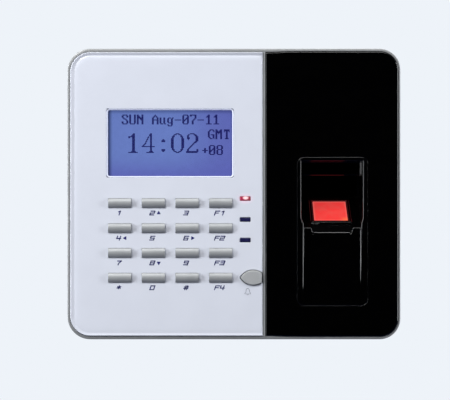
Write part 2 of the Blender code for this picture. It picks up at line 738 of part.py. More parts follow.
def display():
    middle_x, middle_z = (LCD_LEFT + LCD_RIGHT) / 2, (LCD_BOTTOM + LCD_TOP) / 2
    half_width, half_height = (LCD_RIGHT - LCD_LEFT) / 2, (LCD_TOP - LCD_BOTTOM) / 2

    def plate(name, margin, layer, finish):
        outline = even_outline(half_width + margin, half_height + margin, 0.0006,
                               middle_x, middle_z, 2)
        return slab(name, outline, *layer, finish)

    front, back = LCD_FRAME_LAYER
    plate("lcd_window", 0.0, LCD_WINDOW_LAYER, "clear")
    frame = plate("lcd_frame", 0.0034, LCD_FRAME_LAYER, "black_matte")
    cut(frame, plate("lcd_sight", 0.0006, (front - BEYOND, back + BEYOND), None))
    cut(frame, plate("lcd_seat", 0.0025, (LCD_SEAT_FRONT, back + BEYOND), None))
    plate("lcd_glass", 0.0022, LCD_GLASS_LAYER, "lcd_blue")
    plate("lcd_backlight", 0.0022, LCD_BACKLIGHT_LAYER, "diffuser")
    plate("lcd_board", 0.0044, LCD_BOARD_LAYER, "board_green")


def ribbon():
    """Flat cable in a shallow S from the display board back to the main board."""
    start_y, end_y = -0.0297, BOARD_FRONT - GAP
    low_z, high_z = 0.0110, 0.0150
    thickness = 0.0004
    steps = 12
    front_side, back_side = [], []
    for step in range(steps + 1):
        share = step / steps
        y = start_y + (end_y - start_y) * share
        z = low_z + (high_z - low_z) * (1 - cos(pi * share)) / 2
        front_side.append((y, z))
        back_side.append((y, z + thickness))
    profile_bar("lcd_ribbon", front_side + back_side[::-1], -0.0400, -0.0240, "ribbon")


# -------------------------------------------------------------------------------- keys


def key_form():
    """One key as a mesh about its own middle: a rounded cap on a flange that holds it in."""
    cap = slab("key_cap", even_outline(KEY_WIDTH / 2, KEY_HEIGHT / 2, 0.0004, steps=2),
               KEY_FRONT, KEY_REAR, "key_silver")
    bevelled(cap, 0.0006, 2)
    flange = boxes("key_flange", [
        ((-KEY_WIDTH / 2 - KEY_FLANGE, KEY_FLANGE_FRONT, -KEY_HEIGHT / 2 - KEY_FLANGE),
         (KEY_WIDTH / 2 + KEY_FLANGE, KEY_FLANGE_REAR, KEY_HEIGHT / 2 + KEY_FLANGE)),
    ])
    join(cap, flange)
    bpy.context.view_layer.update()
    graph = bpy.context.evaluated_depsgraph_get()
    mesh = bpy.data.meshes.new_from_object(cap.evaluated_get(graph))
    mesh.transform(cap.matrix_world)
    mesh.transform(Matrix.Translation((0.0, -PANEL_FRONT, 0.0)))
    mesh.name = "key"
    bpy.data.objects.remove(cap, do_unlink=True)
    bpy.data.objects.remove(flange, do_unlink=True)
    return mesh


def keys():
    mesh = key_form()
    mesh.materials.clear()
    mesh.materials.append(material_of("key_silver"))
    for name, x, z in key_places():
        key = added(name, mesh, "key_silver")
        key.location = (x, PANEL_FRONT, z)


def bell_key():
    obj = slab("bell_key", bell_outline(), KEY_FRONT + 0.0003, KEY_REAR, "key_silver")
    bevelled(obj, 0.0004, 2, angle=60)
    join(obj, slab("bell_flange", bell_outline(0.0004), KEY_FLANGE_FRONT, KEY_FLANGE_REAR))


def light_guides():
    for number, z in enumerate(LIGHT_Z, 1):
        finish = "light_red" if number == 1 else "light_dark"
        half_width, half_height = LIGHT_WIDTH / 2, LIGHT_HEIGHT / 2
        boxes(f"light_guide_{number}", [
            ((LIGHT_X - half_width, PANEL_FRONT - 0.0001, z - half_height),
             (LIGHT_X + half_width, KEYPAD_BOARD_FRONT - GAP, z + half_height)),
        ], finish)


def keypad():
    """Silicone mat with a dome behind each key, and the board that it lies on."""
    outline = rounded_outline(KEYPAD_LEFT, KEYPAD_RIGHT, KEYPAD_BOTTOM, KEYPAD_TOP,
                              (0.001,) * 4, 2)
    mat_back = KEYPAD_BOARD_FRONT - GAP
    mat_front = mat_back - 0.0009
    mat = slab("keypad_mat", outline, mat_front, mat_back, "silicone")
    form = bmesh.new()
    places = [(x, z) for _, x, z in key_places()] + [(BELL_DOME_X, BELL_Z)]
    for x, z in places:
        rod_into(form, (x, mat_front + OVERLAP, z), (x, DOME_FRONT, z), 0.0026, 0.0019, 10)
    join(mat, added("domes", mesh_from(form, "domes")))
    holes = [((LIGHT_X - LIGHT_WIDTH / 2 - GAP, mat_front - BEYOND, z - LIGHT_HEIGHT / 2 - GAP),
              (LIGHT_X + LIGHT_WIDTH / 2 + GAP, KEYPAD_BOARD_FRONT + 0.0001,
               z + LIGHT_HEIGHT / 2 + GAP)) for z in LIGHT_Z]
    cut(mat, boxes("mat_light_holes", holes))
    slab("keypad_board", outline, KEYPAD_BOARD_FRONT, KEYPAD_BOARD_REAR, "board_green")


# ------------------------------------------------------------------------- finger well


def fingerprint_bezel():
    """Insert with a deep upper well, a floor that leans back, and a shallow ramp below."""
    flange = rounded_outline(WELL_X - BEZEL_HALF_WIDTH, WELL_X + BEZEL_HALF_WIDTH,
                             BEZEL_BOTTOM, BEZEL_TOP, (BEZEL_CORNER,) * 4)
    obj = slab("fingerprint_bezel", flange, BEZEL_FRONT, PANEL_REAR - GAP, "black_gloss")
    half_body = BEZEL_HALF_WIDTH - BEZEL_BODY_INSET
    body = rounded_outline(WELL_X - half_body, WELL_X + half_body,
                           BEZEL_BOTTOM + BEZEL_BODY_INSET, BEZEL_TOP - BEZEL_BODY_INSET,
                           (0.002,) * 4, 2)
    join(obj, slab("bezel_body", body, PANEL_REAR - GAP - 0.001, BEZEL_REAR))
    shelf_y, shelf_top, shelf_bottom = WELL_SHELF
    upper = (
        (BEZEL_FRONT - BEYOND, WELL_TOP),
        (BEZEL_FRONT, WELL_TOP),
        (shelf_y, shelf_top),
        (shelf_y, shelf_bottom),
        (WELL_DEEP, shelf_bottom - 0.0006),
        (WELL_DEEP, well_floor_z(WELL_DEEP)),
        (LEDGE_Y, well_floor_z(LEDGE_Y)),
        (BEZEL_FRONT - BEYOND, well_floor_z(LEDGE_Y)),
    )
    lower = (
        (BEZEL_FRONT - BEYOND, well_floor_z(LEDGE_Y) + 0.0010),
        (LEDGE_Y, well_floor_z(LEDGE_Y) + 0.0001),
        (LEDGE_Y + 0.0004, RAMP_TOP),
        (BEZEL_FRONT, RAMP_END),
        (BEZEL_FRONT - BEYOND, RAMP_END),
    )
    skin_top = well_floor_z(BEZEL_REAR - 0.0006, SKIN)
    behind = (
        (BEZEL_REAR + BEYOND, skin_top),
        (BEZEL_REAR - 0.0006, skin_top),
        (-0.0332, well_floor_z(-0.0332, SKIN)),
        (-0.0332, -0.0195),
        (-0.0362, -0.0460),
        (-0.0362, BEZEL_BOTTOM + 0.0030),
        (BEZEL_REAR + BEYOND, BEZEL_BOTTOM + 0.0030),
    )
    cut(obj, profile_bar("well_upper", upper, WELL_X - WELL_HALF_WIDTH, WELL_X + WELL_HALF_WIDTH))
    cut(obj, profile_bar("well_lower", lower, WELL_X - RAMP_HALF_WIDTH, WELL_X + RAMP_HALF_WIDTH))
    cut(obj, profile_bar("bezel_rear", behind, WELL_X - RAMP_HALF_WIDTH, WELL_X + RAMP_HALF_WIDTH))
    half_width, half_length = HOUSING_WIDTH / 2 + GAP, HOUSING_LENGTH / 2 + GAP
    window = boxes("platen_window", [((-half_width, -half_length, -PRISM_DEPTH),
                                      (half_width, half_length, 0.0040))])
    notch = (
        (BEZEL_FRONT - BEYOND, -0.0125),
        (-0.0300, -0.0125),
        (-0.0300, -0.0165),
        (-0.0349, NOSE_LIP - 0.0004),
        (BEZEL_FRONT - BEYOND, NOSE_LIP - 0.0004),
    )
    cut(obj, on_platen(window))
    cut(obj, profile_bar("nose_notch", notch, WELL_X - half_width, WELL_X + half_width))


def sensor_prism():
    """Glass wedge: the full platen on top, narrowing towards the lens."""
    form = bmesh.new()
    verts = box_into(form, (-PLATEN_WIDTH / 2, -PLATEN_LENGTH / 2, -PRISM_DEPTH),
                     (PLATEN_WIDTH / 2, PLATEN_LENGTH / 2, 0.0))
    for vert in verts:
        if vert.co.z < -PRISM_DEPTH / 2:
            vert.co.y *= PRISM_TAPER
    on_platen(added("sensor_prism", mesh_from(form, "sensor_prism"), "platen_red"))


def sensor_housing():
    """Black case of the sensor: open for the glass and the lens, with a nose below the glass."""
    half_width, half_length = HOUSING_WIDTH / 2, HOUSING_LENGTH / 2
    obj = boxes("sensor_housing", [((-half_width, -half_length, -HOUSING_DEPTH),
                                    (half_width, half_length, HOUSING_RIM))], "black_matte")
    seat = ((-PLATEN_WIDTH / 2 - GAP, -PLATEN_LENGTH / 2 - GAP, -PRISM_DEPTH - GAP),
            (PLATEN_WIDTH / 2 + GAP, PLATEN_LENGTH / 2 + GAP, BEYOND))
    tunnel = ((-TUNNEL_HALF, -TUNNEL_HALF, -HOUSING_DEPTH + TUNNEL_FLOOR),
              (TUNNEL_HALF, TUNNEL_HALF, -PRISM_DEPTH + 0.0010))
    nose = (
        (-0.0320, -0.0137),
        (NOSE_FRONT, NOSE_LIP + 0.0003),
        (NOSE_FRONT, NOSE_LIP),
        (-0.0352, NOSE_LIP),
        (-0.0312, -0.0160),
    )
    on_platen(obj)
    join(obj, profile_bar("nose", nose, WELL_X - half_width, WELL_X + half_width))
    cut(obj, on_platen(boxes("prism_seat", [seat])), on_platen(boxes("light_tunnel", [tunnel])))
    bore = rods("lens_bore", [((0, 0, -HOUSING_DEPTH - BEYOND), (0, 0, -0.0100))],
                LENS_BORE_RADIUS)
    cut(obj, on_platen(bore))


def sensor_optics():
    """Lens, camera board and light board behind the sensor housing."""
    lens_top = -HOUSING_DEPTH - GAP
    lens_bottom = lens_top - LENS_LENGTH
    on_platen(rods("sensor_lens", [((0, 0, lens_bottom), (0, 0, lens_top))], LENS_RADIUS,
                   "black_matte"))
    board_top = lens_bottom - GAP
    half = CAMERA_BOARD_HALF
    board = ((-half, -half, board_top - CAMERA_BOARD_THICKNESS), (half, half, board_top))
    on_platen(boxes("sensor_camera_board", [board], "board_green"))
    side = HOUSING_WIDTH / 2 + GAP
    on_platen(boxes("sensor_light_board", [((side, -0.0080, -0.0120),
                                            (side + 0.0010, 0.0080, -0.0040))], "board_green"))


def sensor_cable():
    """Lead from the camera board, round the back of the insert, to the main board."""
    route = [Vector(point) for point in (
        (0.0490, -0.0076, -0.0228),
        (0.0385, -0.0077, -0.0228),
        (0.0350, -0.0086, -0.0226),
        (0.0310, -0.0110, -0.0220),
        (0.0275, -0.0142, -0.0212),
        (0.0235, -0.0166, -0.0205),
        (0.0180, -0.0173, -0.0202),
    )]
    curve = bpy.data.curves.new("sensor_cable", "CURVE")
    curve.dimensions = "3D"
    curve.bevel_depth = 0.0009
    curve.bevel_resolution = 2
    curve.use_fill_caps = True
    spline = curve.splines.new("POLY")
    spline.points.add(len(route) - 1)
    for point, place in zip(spline.points, route):
        point.co = (*place, 1.0)
    curve.materials.append(material_of("black_matte"))
    PARTS.objects.link(bpy.data.objects.new("sensor_cable", curve))


# ------------------------------------------------------------------ boards and sockets


def main_board():
    left, right, bottom, top = BOARD_EDGES
    outline = rounded_outline(left, right, bottom, top, (0.001,) * 4, 2)
    obj = slab("main_board", outline, BOARD_FRONT, BOARD_REAR, "board_green")
    holes = [((x, BOARD_FRONT - BEYOND, z), (x, BOARD_REAR + BEYOND, z)) for x, z in BOARD_SCREWS]
    cut(obj, rods("board_holes", holes, POST_BORE_RADIUS, sides=10))


def board_screws():
    profile = (
        (0.0, 0.0),
        (0.0017, 0.0),
        (0.0021, -0.0005),
        (0.0021, -0.0014),
        (0.0012, -0.0014),
        (0.0012, -0.0072),
        (0.0, -0.0072),
    )
    for number, (x, z) in enumerate(BOARD_SCREWS, 1):
        turned(f"board_screw_{number}", profile, "screw_steel",
               (x, BOARD_FRONT - GAP - 0.0014, z), (0, -1, 0))


def socket_body(name, x, z, width, height, mouth_y, finish):
    return boxes(name, [((x - width / 2, BOARD_REAR + GAP, z - height / 2),
                         (x + width / 2, mouth_y, z + height / 2))], finish)


def sockets():
    """Network jack, USB socket, power jack and terminal block, all facing the wall."""
    row_z = -0.0360
    jack_x, jack_mouth = -0.0260, -0.0032
    jack = socket_body("ethernet_jack", jack_x, row_z, 0.0160, 0.0135, jack_mouth, "socket_metal")
    cut(jack, boxes("plug_space", [((jack_x - 0.0060, jack_mouth - 0.0110, row_z - 0.0045),
                                    (jack_x + 0.0060, BEYOND, row_z + 0.0035))]))
    cut(jack, boxes("latch_space", [((jack_x - 0.0030, jack_mouth - 0.0080, row_z + 0.0030),
                                     (jack_x + 0.0030, BEYOND, row_z + 0.0055))]))
    usb_x, usb_mouth = -0.0030, -0.0048
    usb = socket_body("usb_socket", usb_x, row_z, 0.0145, 0.0070, usb_mouth, "socket_metal")
    cut(usb, boxes("usb_space", [((usb_x - 0.0062, usb_mouth - 0.0090, row_z - 0.0025),
                                  (usb_x + 0.0062, BEYOND, row_z + 0.0025))]))
    join(usb, boxes("usb_tongue", [((usb_x - 0.0055, usb_mouth - 0.0092, row_z + 0.0001),
                                    (usb_x + 0.0055, usb_mouth - 0.0010, row_z + 0.0019))]))
    power_x, power_mouth = 0.0125, -0.0042
    power = socket_body("power_jack", power_x, row_z, 0.0092, 0.0110, power_mouth, "black_matte")
    cut(power, rods("power_bore", [((power_x, power_mouth - 0.0095, row_z),
                                    (power_x, BEYOND, row_z))], 0.0031))
    join(power, rods("power_pin", [((power_x, power_mouth - 0.0098, row_z),
                                    (power_x, power_mouth - 0.0012, row_z))], 0.00095, sides=12))


def terminal_block():
    pitch, ways = 0.0050, 8
    middle_x, middle_z, mouth = -0.0080, -0.0492, -0.0080
    obj = socket_body("terminal_block", middle_x, middle_z, pitch * ways + 0.001, 0.0082,
                      mouth, "terminal_green")
    entries, screws = [], []
    for way in range(ways):
        x = middle_x + (way - (ways - 1) / 2) * pitch
        entries.append(((x - 0.0015, mouth - 0.0060, middle_z - 0.0034),
                        (x + 0.0015, BEYOND, middle_z - 0.0010)))
        screws.append(((x, mouth - 0.0012, middle_z + 0.0018), (x, BEYOND, middle_z + 0.0018)))
    cut(obj, boxes("wire_entries", entries))
    cut(obj, rods("terminal_screw_wells", screws, 0.0016, sides=10))


def coin_cell():
    back = BOARD_REAR + GAP
    holder = rods("coin_cell_holder", [((CELL_X, back, CELL_Z), (CELL_X, back + 0.0042, CELL_Z))],
                  0.0118, "black_matte", 28)
    seat = rods("cell_seat", [((CELL_X, back + 0.0008, CELL_Z), (CELL_X, BEYOND, CELL_Z))],
                CELL_RADIUS + GAP, sides=28)
    cut(holder, seat)
    rods("coin_cell", [((CELL_X, back + 0.0011, CELL_Z), (CELL_X, back + 0.0043, CELL_Z))],
         CELL_RADIUS, "socket_metal", 28)


def speaker():
    profile = (
        (0.0, 0.0052),
        (0.0062, 0.0052),
        (0.0062, 0.0030),
        (0.0115, 0.0016),
        (SPEAKER_RADIUS, 0.0016),
        (SPEAKER_RADIUS, 0.0),
        (0.0118, 0.0),
        (0.0060, 0.0010),
        (0.0, 0.0007),
    )
    turned("speaker", profile, "black_matte", (0.0, SHELL_INSIDE - GAP, SPEAKER_Z), (0, -1, 0))


def tamper_switch():
    """Spring plunger held in by the wall plate, and the switch that it presses."""
    tip_y, flange_y = PLATE_FRONT - GAP, -0.0078
    flange_front = flange_y - 0.0011
    length = tip_y - flange_front
    profile = (
        (0.0, length),
        (0.0032, length),
        (0.0032, length - 0.0011),
        (TAMPER_RADIUS, length - 0.0011),
        (TAMPER_RADIUS, 0.0006),
        (TAMPER_RADIUS - 0.0006, 0.0),
        (0.0, 0.0),
    )
    turned("tamper_plunger", profile, "diffuser", (TAMPER_X, tip_y, TAMPER_Z), (0, -1, 0))
    half = 0.0035
    boxes("tamper_switch", [((TAMPER_X - half, BOARD_REAR + GAP, TAMPER_Z - half),
                             (TAMPER_X + half, -0.0103, TAMPER_Z + half))], "black_matte")


def build():
    for make in (
        wall_plate, lock_screw, rear_shell, trim_frame, front_chassis, case_screws,
        white_panel, black_panel, divider_strip, display, ribbon, keys, bell_key,
        light_guides, keypad, fingerprint_bezel, sensor_prism, sensor_housing,
        sensor_optics, sensor_cable, main_board, board_screws, sockets, terminal_block,
        coin_cell, speaker, tamper_switch,
    ):
        make()


build()
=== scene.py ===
"""Looks of the wall-mounted fingerprint scanner terminal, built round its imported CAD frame.

Metres, +Z up, the wall is y = 0 and the terminal faces -Y. A piece that replaces a CAD node
lies where that node lies. Everything else keeps its CAD mesh and gets soft edges and a
procedural finish.
"""

from math import cos, pi, radians, sin, sqrt, tan

import bmesh
import bpy
from mathutils import Matrix, Vector

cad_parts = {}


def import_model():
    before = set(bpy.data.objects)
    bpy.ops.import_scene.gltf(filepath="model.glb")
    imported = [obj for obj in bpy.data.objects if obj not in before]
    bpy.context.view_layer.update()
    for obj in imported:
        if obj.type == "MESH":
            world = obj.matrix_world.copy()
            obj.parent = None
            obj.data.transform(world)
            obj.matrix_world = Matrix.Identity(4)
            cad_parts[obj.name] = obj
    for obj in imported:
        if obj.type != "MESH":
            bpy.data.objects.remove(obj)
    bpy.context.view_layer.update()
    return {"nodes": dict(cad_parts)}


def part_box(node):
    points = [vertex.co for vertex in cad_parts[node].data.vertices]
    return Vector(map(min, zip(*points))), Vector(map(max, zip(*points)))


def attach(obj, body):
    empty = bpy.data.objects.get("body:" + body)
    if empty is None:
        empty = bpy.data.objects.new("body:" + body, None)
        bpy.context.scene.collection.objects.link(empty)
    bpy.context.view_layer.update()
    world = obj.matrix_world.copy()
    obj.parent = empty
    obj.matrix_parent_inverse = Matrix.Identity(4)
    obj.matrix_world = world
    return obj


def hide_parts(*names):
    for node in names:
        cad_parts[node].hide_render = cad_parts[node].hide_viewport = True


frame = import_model()

# ---------------------------------------------------------------- places from the frame

TRIM_LOW, TRIM_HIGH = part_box("trim_frame")
WHITE_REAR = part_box("white_front_panel")[1].y
BLACK_LOW, BLACK_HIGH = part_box("black_front_panel")
DIVIDER_LOW, DIVIDER_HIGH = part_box("divider_strip")
WINDOW_LOW, WINDOW_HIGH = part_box("lcd_window")
GLASS_LOW, GLASS_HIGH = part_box("lcd_glass")
BEZEL_LOW, BEZEL_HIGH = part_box("fingerprint_bezel")

LEFT_CORNER = 0.0115
RIGHT_CORNER = 0.0105
SHELL_SEAT = (0.0793, 0.0683, 0.0093)
TRIM_FLANGE = -0.0218
LEFT_WALL = 0.0014
RIGHT_WALL = 0.0010
EXTRA_WALL = 0.0003
WALL_CHANGE = (0.0162, 0.0300)
SEAM = 0.0001

FACE = -0.0383
VALLEY = -0.03794
WELL_X = 0.04965
PLATEN_LEAN = radians(33.4)
PLATEN_MIDDLE = Vector((WELL_X - 0.00015, -0.0241, -0.00865))
PLATEN_WIDTH = 0.0175
PLATEN_LENGTH = 0.0179
BELL_HALF_LENGTH = 0.0064
BELL_FLANGE = (0.00064, 0.0, 0.0004)
KEY_FLANGE = 0.0007
KEY_CLEARANCE = 0.00004
KEY_SIDE = 0.00012
BEYOND = 0.006

KEY_LEGENDS = {
    "key_1": "1", "key_2": "2", "key_3": "3", "key_f1": "F1",
    "key_4": "4", "key_5": "5", "key_6": "6", "key_f2": "F2",
    "key_7": "7", "key_8": "8", "key_9": "9", "key_f3": "F3",
    "key_star": "*", "key_0": "0", "key_hash": "#", "key_f4": "F4",
}
KEY_ARROWS = {"key_2": pi / 2, "key_4": pi, "key_6": 0.0, "key_8": -pi / 2}


def linear(red, green, blue):
    """A display colour, 0 to 255, as the linear colour that shaders take."""
    shares = (red / 255, green / 255, blue / 255)
    return tuple(s / 12.92 if s <= 0.04045 else ((s + 0.055) / 1.055) ** 2.4 for s in shares)


def eased(value, start, end):
    """0 before start, 1 after end and a smooth step between."""
    share = min(max((value - start) / (end - start), 0.0), 1.0)
    return share * share * (3 - 2 * share)


def trim_wall(x):
    """Thickness of the silver ring: slimmer round the black half than round the white."""
    return LEFT_WALL + (RIGHT_WALL - LEFT_WALL) * eased(x, *WALL_CHANGE)


def span(low, high):
    """Middle x and z of a box, and half of its width and of its height."""
    return ((low.x + high.x) / 2, (low.z + high.z) / 2,
            (high.x - low.x) / 2, (high.z - low.z) / 2)


# --------------------------------------------------------------------------- materials


def plug(tree, socket, value):
    """Links a socket to another one, or sets its value."""
    if isinstance(value, bpy.types.NodeSocket):
        tree.links.new(value, socket)
    else:
        socket.default_value = value


class Recipe:
    """A node material: its surface shader, and short calls for the nodes that feed it."""

    def __init__(self, name):
        self.material = bpy.data.materials.new(name)
        self.material.use_nodes = True
        self.tree = self.material.node_tree
        self.surface = self.tree.nodes["Principled BSDF"]
        self.place = self.add("TexCoord").outputs["Object"]

    def add(self, kind, inputs=None, **settings):
        node = self.tree.nodes.new("ShaderNode" + kind)
        for key, value in settings.items():
            setattr(node, key, value)
        self.feed(node, inputs or {})
        return node

    def feed(self, node, inputs):
        for key, value in inputs.items():
            plug(self.tree, node.inputs[key], value)

    def noise(self, scale, detail, stretch=(1, 1, 1), distortion=0.0):
        mapping = self.add("Mapping", {"Vector": self.place, "Scale": stretch})
        inputs = {"Vector": mapping.outputs["Vector"], "Scale": scale, "Detail": detail,
                  "Distortion": distortion}
        return self.add("TexNoise", inputs).outputs["Fac"]

    def cells(self, scale, output="Color"):
        return self.add("TexVoronoi", {"Vector": self.place, "Scale": scale}).outputs[output]

    def spread(self, value, low, high, start=0.3, end=0.7):
        """A value between start and end, carried over to low and high."""
        inputs = {"Value": value, "From Min": start, "From Max": end, "To Min": low, "To Max": high}
        return self.add("MapRange", inputs, interpolation_type="SMOOTHSTEP").outputs["Result"]

    def grain(self, scale, detail, low, high):
        """Noise carried over to low and high."""
        return self.spread(self.noise(scale, detail), low, high)

    def sums(self, operation, first, second=0):
        node = self.add("Math", operation=operation)
        for socket, value in zip(node.inputs, (first, second)):
            plug(self.tree, socket, value)
        return node.outputs[0]

    def plus(self, first, second):
        return self.sums("ADD", first, second)

    def times(self, first, second):
        return self.sums("MULTIPLY", first, second)

    def squares(self, first, second):
        return self.plus(self.times(first, first), self.times(second, second))

    def blend(self, share, first, second, mode="MIX"):
        """Two colours, or a colour and a socket, mixed by a share."""
        node = self.add("Mix", data_type="RGBA", blend_type=mode)
        plug(self.tree, node.inputs[0], share)
        for socket, value in ((node.inputs[6], first), (node.inputs[7], second)):
            linked_in = isinstance(value, bpy.types.NodeSocket)
            plug(self.tree, socket, value if linked_in else (*value, 1.0))
        return node.outputs[2]

    def axis(self, name):
        return self.add("SeparateXYZ", {0: self.place}).outputs[name]

    def bumps(self, *layers):
        """Stacks (height, depth in metres) layers on the surface's normal."""
        normal = None
        for height, depth in layers:
            inputs = {"Height": height, "Strength": 1.0, "Distance": depth}
            if normal:
                inputs["Normal"] = normal
            normal = self.add("Bump", inputs).outputs["Normal"]
        self.feed(self.surface, {"Normal": normal})

    def set(self, **inputs):
        self.feed(self.surface, {key.replace("_", " "): v for key, v in inputs.items()})


def shades(colour, less, more):
    return (tuple(c * less for c in colour), tuple(c * more for c in colour))


def white_gloss(r):
    """Glossy painted plastic: faint clouds, orange peel, smears and the lit lamp's red spill."""
    dull, bright = shades((0.735, 0.765, 0.848), 0.985, 1.01)
    low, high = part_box("light_guide_1")
    lamp = (low + high) / 2
    aside = r.sums("SUBTRACT", r.axis("X"), lamp.x)
    above = r.times(r.sums("SUBTRACT", r.axis("Z"), lamp.z), 1.5)
    squares = r.squares(aside, above)
    spill = r.spread(r.sums("SQRT", squares), 0.16, 0.0, 0.0016, 0.0052)
    r.set(Base_Color=r.blend(r.grain(70, 4, 0, 1), dull, bright),
          Roughness=r.spread(r.noise(160, 5, (1, 1, 2.2)), 0.16, 0.27),
          Specular_IOR_Level=0.5, Coat_Weight=0.6, Coat_Roughness=0.06,
          Emission_Color=(1.0, 0.10, 0.35, 1), Emission_Strength=spill)
    r.bumps((r.noise(420, 2), 6e-6), (r.noise(2600, 2), 1e-6))


def black_gloss(r):
    """Piano-black plastic with finger smears, hairlines and a little dust."""
    hairline = r.spread(r.noise(900, 3, (0.06, 1, 1), 0.4), 0, 0.05, 0.66, 0.74)
    smear = r.spread(r.noise(90, 5, (1, 1, 1.6), 0.6), 0.055, 0.14)
    dust = r.spread(r.cells(900, "Distance"), 0.02, 0.0, 0.02, 0.10)
    r.set(Base_Color=r.blend(dust, (0.0004, 0.0004, 0.0005), (0.12, 0.12, 0.12)),
          Roughness=r.plus(smear, hairline), Specular_IOR_Level=0.5,
          Coat_Weight=0.3, Coat_Roughness=0.03)
    r.bumps((r.noise(260, 2), 3e-6))


def sensor_case(r):
    """Black plastic of the sensor, with red light that leaks out all round its glass."""
    black_gloss(r)
    local = r.add("Mapping", {"Vector": r.place, "Location": PLATEN_MIDDLE,
                              "Rotation": (PLATEN_LEAN, 0.0, 0.0)}, vector_type="TEXTURE")
    flat = r.add("SeparateXYZ", {0: local.outputs["Vector"]})
    side = r.sums("SUBTRACT", r.sums("ABSOLUTE", flat.outputs["X"]), PLATEN_WIDTH / 2)
    end = r.sums("SUBTRACT", r.sums("ABSOLUTE", flat.outputs["Y"]), PLATEN_LENGTH / 2)
    away = r.sums("MAXIMUM", side, end)
    leak = r.spread(away, 0.060, 0.0, 0.0, 0.0009)
    inner = r.spread(side, 0, 1, 0.00125, 0.00165)
    edge = r.times(inner, r.spread(side, 1, 0, 0.0018, 0.0021))
    edge = r.times(edge, r.spread(end, 0.060, 0, -0.001, 0.002))
    r.set(Emission_Color=(1.0, 0.13, 0.15, 1), Emission_Strength=r.plus(leak, edge))


def black_matte(r):
    """Moulded black plastic with a fine spark texture."""
    low, high = shades((0.016, 0.016, 0.018), 0.7, 1.4)
    r.set(Base_Color=r.blend(r.grain(300, 4, 0, 1), low, high),
          Roughness=r.grain(240, 3, 0.42, 0.62), Specular_IOR_Level=0.35)
    r.bumps((r.noise(5200, 3), 1.2e-5))


def flake_paint(r, colour, metallic, roughness, flake_size):
    """Silver paint: flakes that each lean a little, under a satin clear coat."""
    flake = r.cells(1 / flake_size)
    tone = r.plus(r.spread(flake, 0.0, 0.55, 0, 1), r.grain(110, 4, 0.0, 0.45))
    low, high = shades(colour, 0.90, 1.10)
    r.set(Base_Color=r.blend(tone, low, high),
          Roughness=r.grain(500, 4, roughness - 0.04, roughness + 0.05),
          Metallic=metallic, Coat_Weight=0.12, Coat_Roughness=0.25)
    r.bumps((r.noise(0.4 / flake_size, 1), 1.2e-6))


def silver_paint(r):
    flake_paint(r, (0.345, 0.355, 0.36), 0.35, 0.38, 0.00016)


def key_silver(r):
    flake_paint(r, (0.375, 0.39, 0.40), 0.22, 0.40, 0.00014)


def bell_silver(r):
    flake_paint(r, (0.50, 0.515, 0.52), 0.22, 0.40, 0.00014)


def wall_steel(r):
    """Zinc-plated sheet: spangle, rolling streaks and grey blotches."""
    spangle = r.cells(420, "Color")
    blotch = r.spread(r.noise(45, 6, (1, 1, 1), 0.5), 0, 1, 0.35, 0.7)
    tone = r.plus(r.times(spangle, 0.4), r.times(blotch, 0.6))
    r.set(Base_Color=r.blend(tone, (0.60, 0.605, 0.61), (0.70, 0.705, 0.70)), Metallic=0.8,
          Roughness=r.spread(tone, 0.42, 0.54, 0, 1), Specular_IOR_Level=0.5)
    r.bumps((r.noise(900, 3, (1, 1, 0.05)), 4e-6))


def screw_steel(r):
    """Black-passivated steel with turning marks and rubbed spots."""
    rubbed = r.spread(r.noise(1300, 4), 0, 1, 0.5, 0.75)
    r.set(Base_Color=r.blend(rubbed, (0.30, 0.30, 0.31), (0.52, 0.52, 0.52)), Metallic=1.0,
          Roughness=r.grain(2200, 3, 0.24, 0.42))
    r.bumps((r.noise(4200, 2, (1, 0.1, 1)), 6e-6))


def shell_grey(r):
    """Dark grey case plastic with a coarse spark texture and scuffs."""
    scuff = r.spread(r.noise(240, 6, (1, 1, 0.25), 0.8), 0, 0.5, 0.62, 0.75)
    base = r.blend(r.grain(60, 4, 0, 1), (0.118, 0.126, 0.136), (0.150, 0.158, 0.168))
    r.set(Base_Color=r.blend(scuff, base, (0.21, 0.22, 0.23)),
          Roughness=r.grain(900, 3, 0.46, 0.64), Specular_IOR_Level=0.4)
    r.bumps((r.noise(2300, 3), 3.2e-5), (r.noise(90, 2), 2e-5))


def lcd_cell(r):
    """Backlit display: lilac blue, deeper to the right, with the frame's shade on its edges."""
    x, z = r.axis("X"), r.axis("Z")
    across = r.spread(x, 0, 1, WINDOW_LOW.x + 0.030, WINDOW_HIGH.x)
    colour = r.blend(across, linear(103, 124, 190), linear(94, 103, 177))
    low = r.spread(z, 1, 0, WINDOW_LOW.z - 0.004, WINDOW_LOW.z + 0.012)
    colour = r.blend(low, colour, linear(91, 97, 175))
    cloud = r.grain(420, 5, 0.975, 1.025)
    left = r.spread(x, 0.16, 1, WINDOW_LOW.x - 0.0006, WINDOW_LOW.x + 0.0022)
    top = r.spread(z, 1, 0.62, WINDOW_HIGH.z - 0.0019, WINDOW_HIGH.z)
    right = r.spread(x, 1, 0.72, WINDOW_HIGH.x - 0.0012, WINDOW_HIGH.x + 0.0004)
    shade = r.times(r.times(left, top), r.times(right, cloud))
    grey = r.add("CombineColor", {"Red": shade, "Green": shade, "Blue": shade}).outputs[0]
    r.set(Base_Color=(0.01, 0.012, 0.03, 1), Roughness=0.30, Specular_IOR_Level=0.15,
          Emission_Color=r.blend(1.0, colour, grey, "MULTIPLY"), Emission_Strength=1.0)
    r.bumps((r.noise(1500, 2), 1e-6))


def lcd_ink(r):
    """Driven dots of the display: dark navy, uneven from dot to dot."""
    uneven = r.grain(1100, 3, 0, 1)
    r.set(Base_Color=(0.004, 0.004, 0.02, 1), Roughness=0.4, Specular_IOR_Level=0.1,
          Emission_Color=r.blend(uneven, linear(8, 4, 70), linear(22, 22, 96)),
          Emission_Strength=1.0)


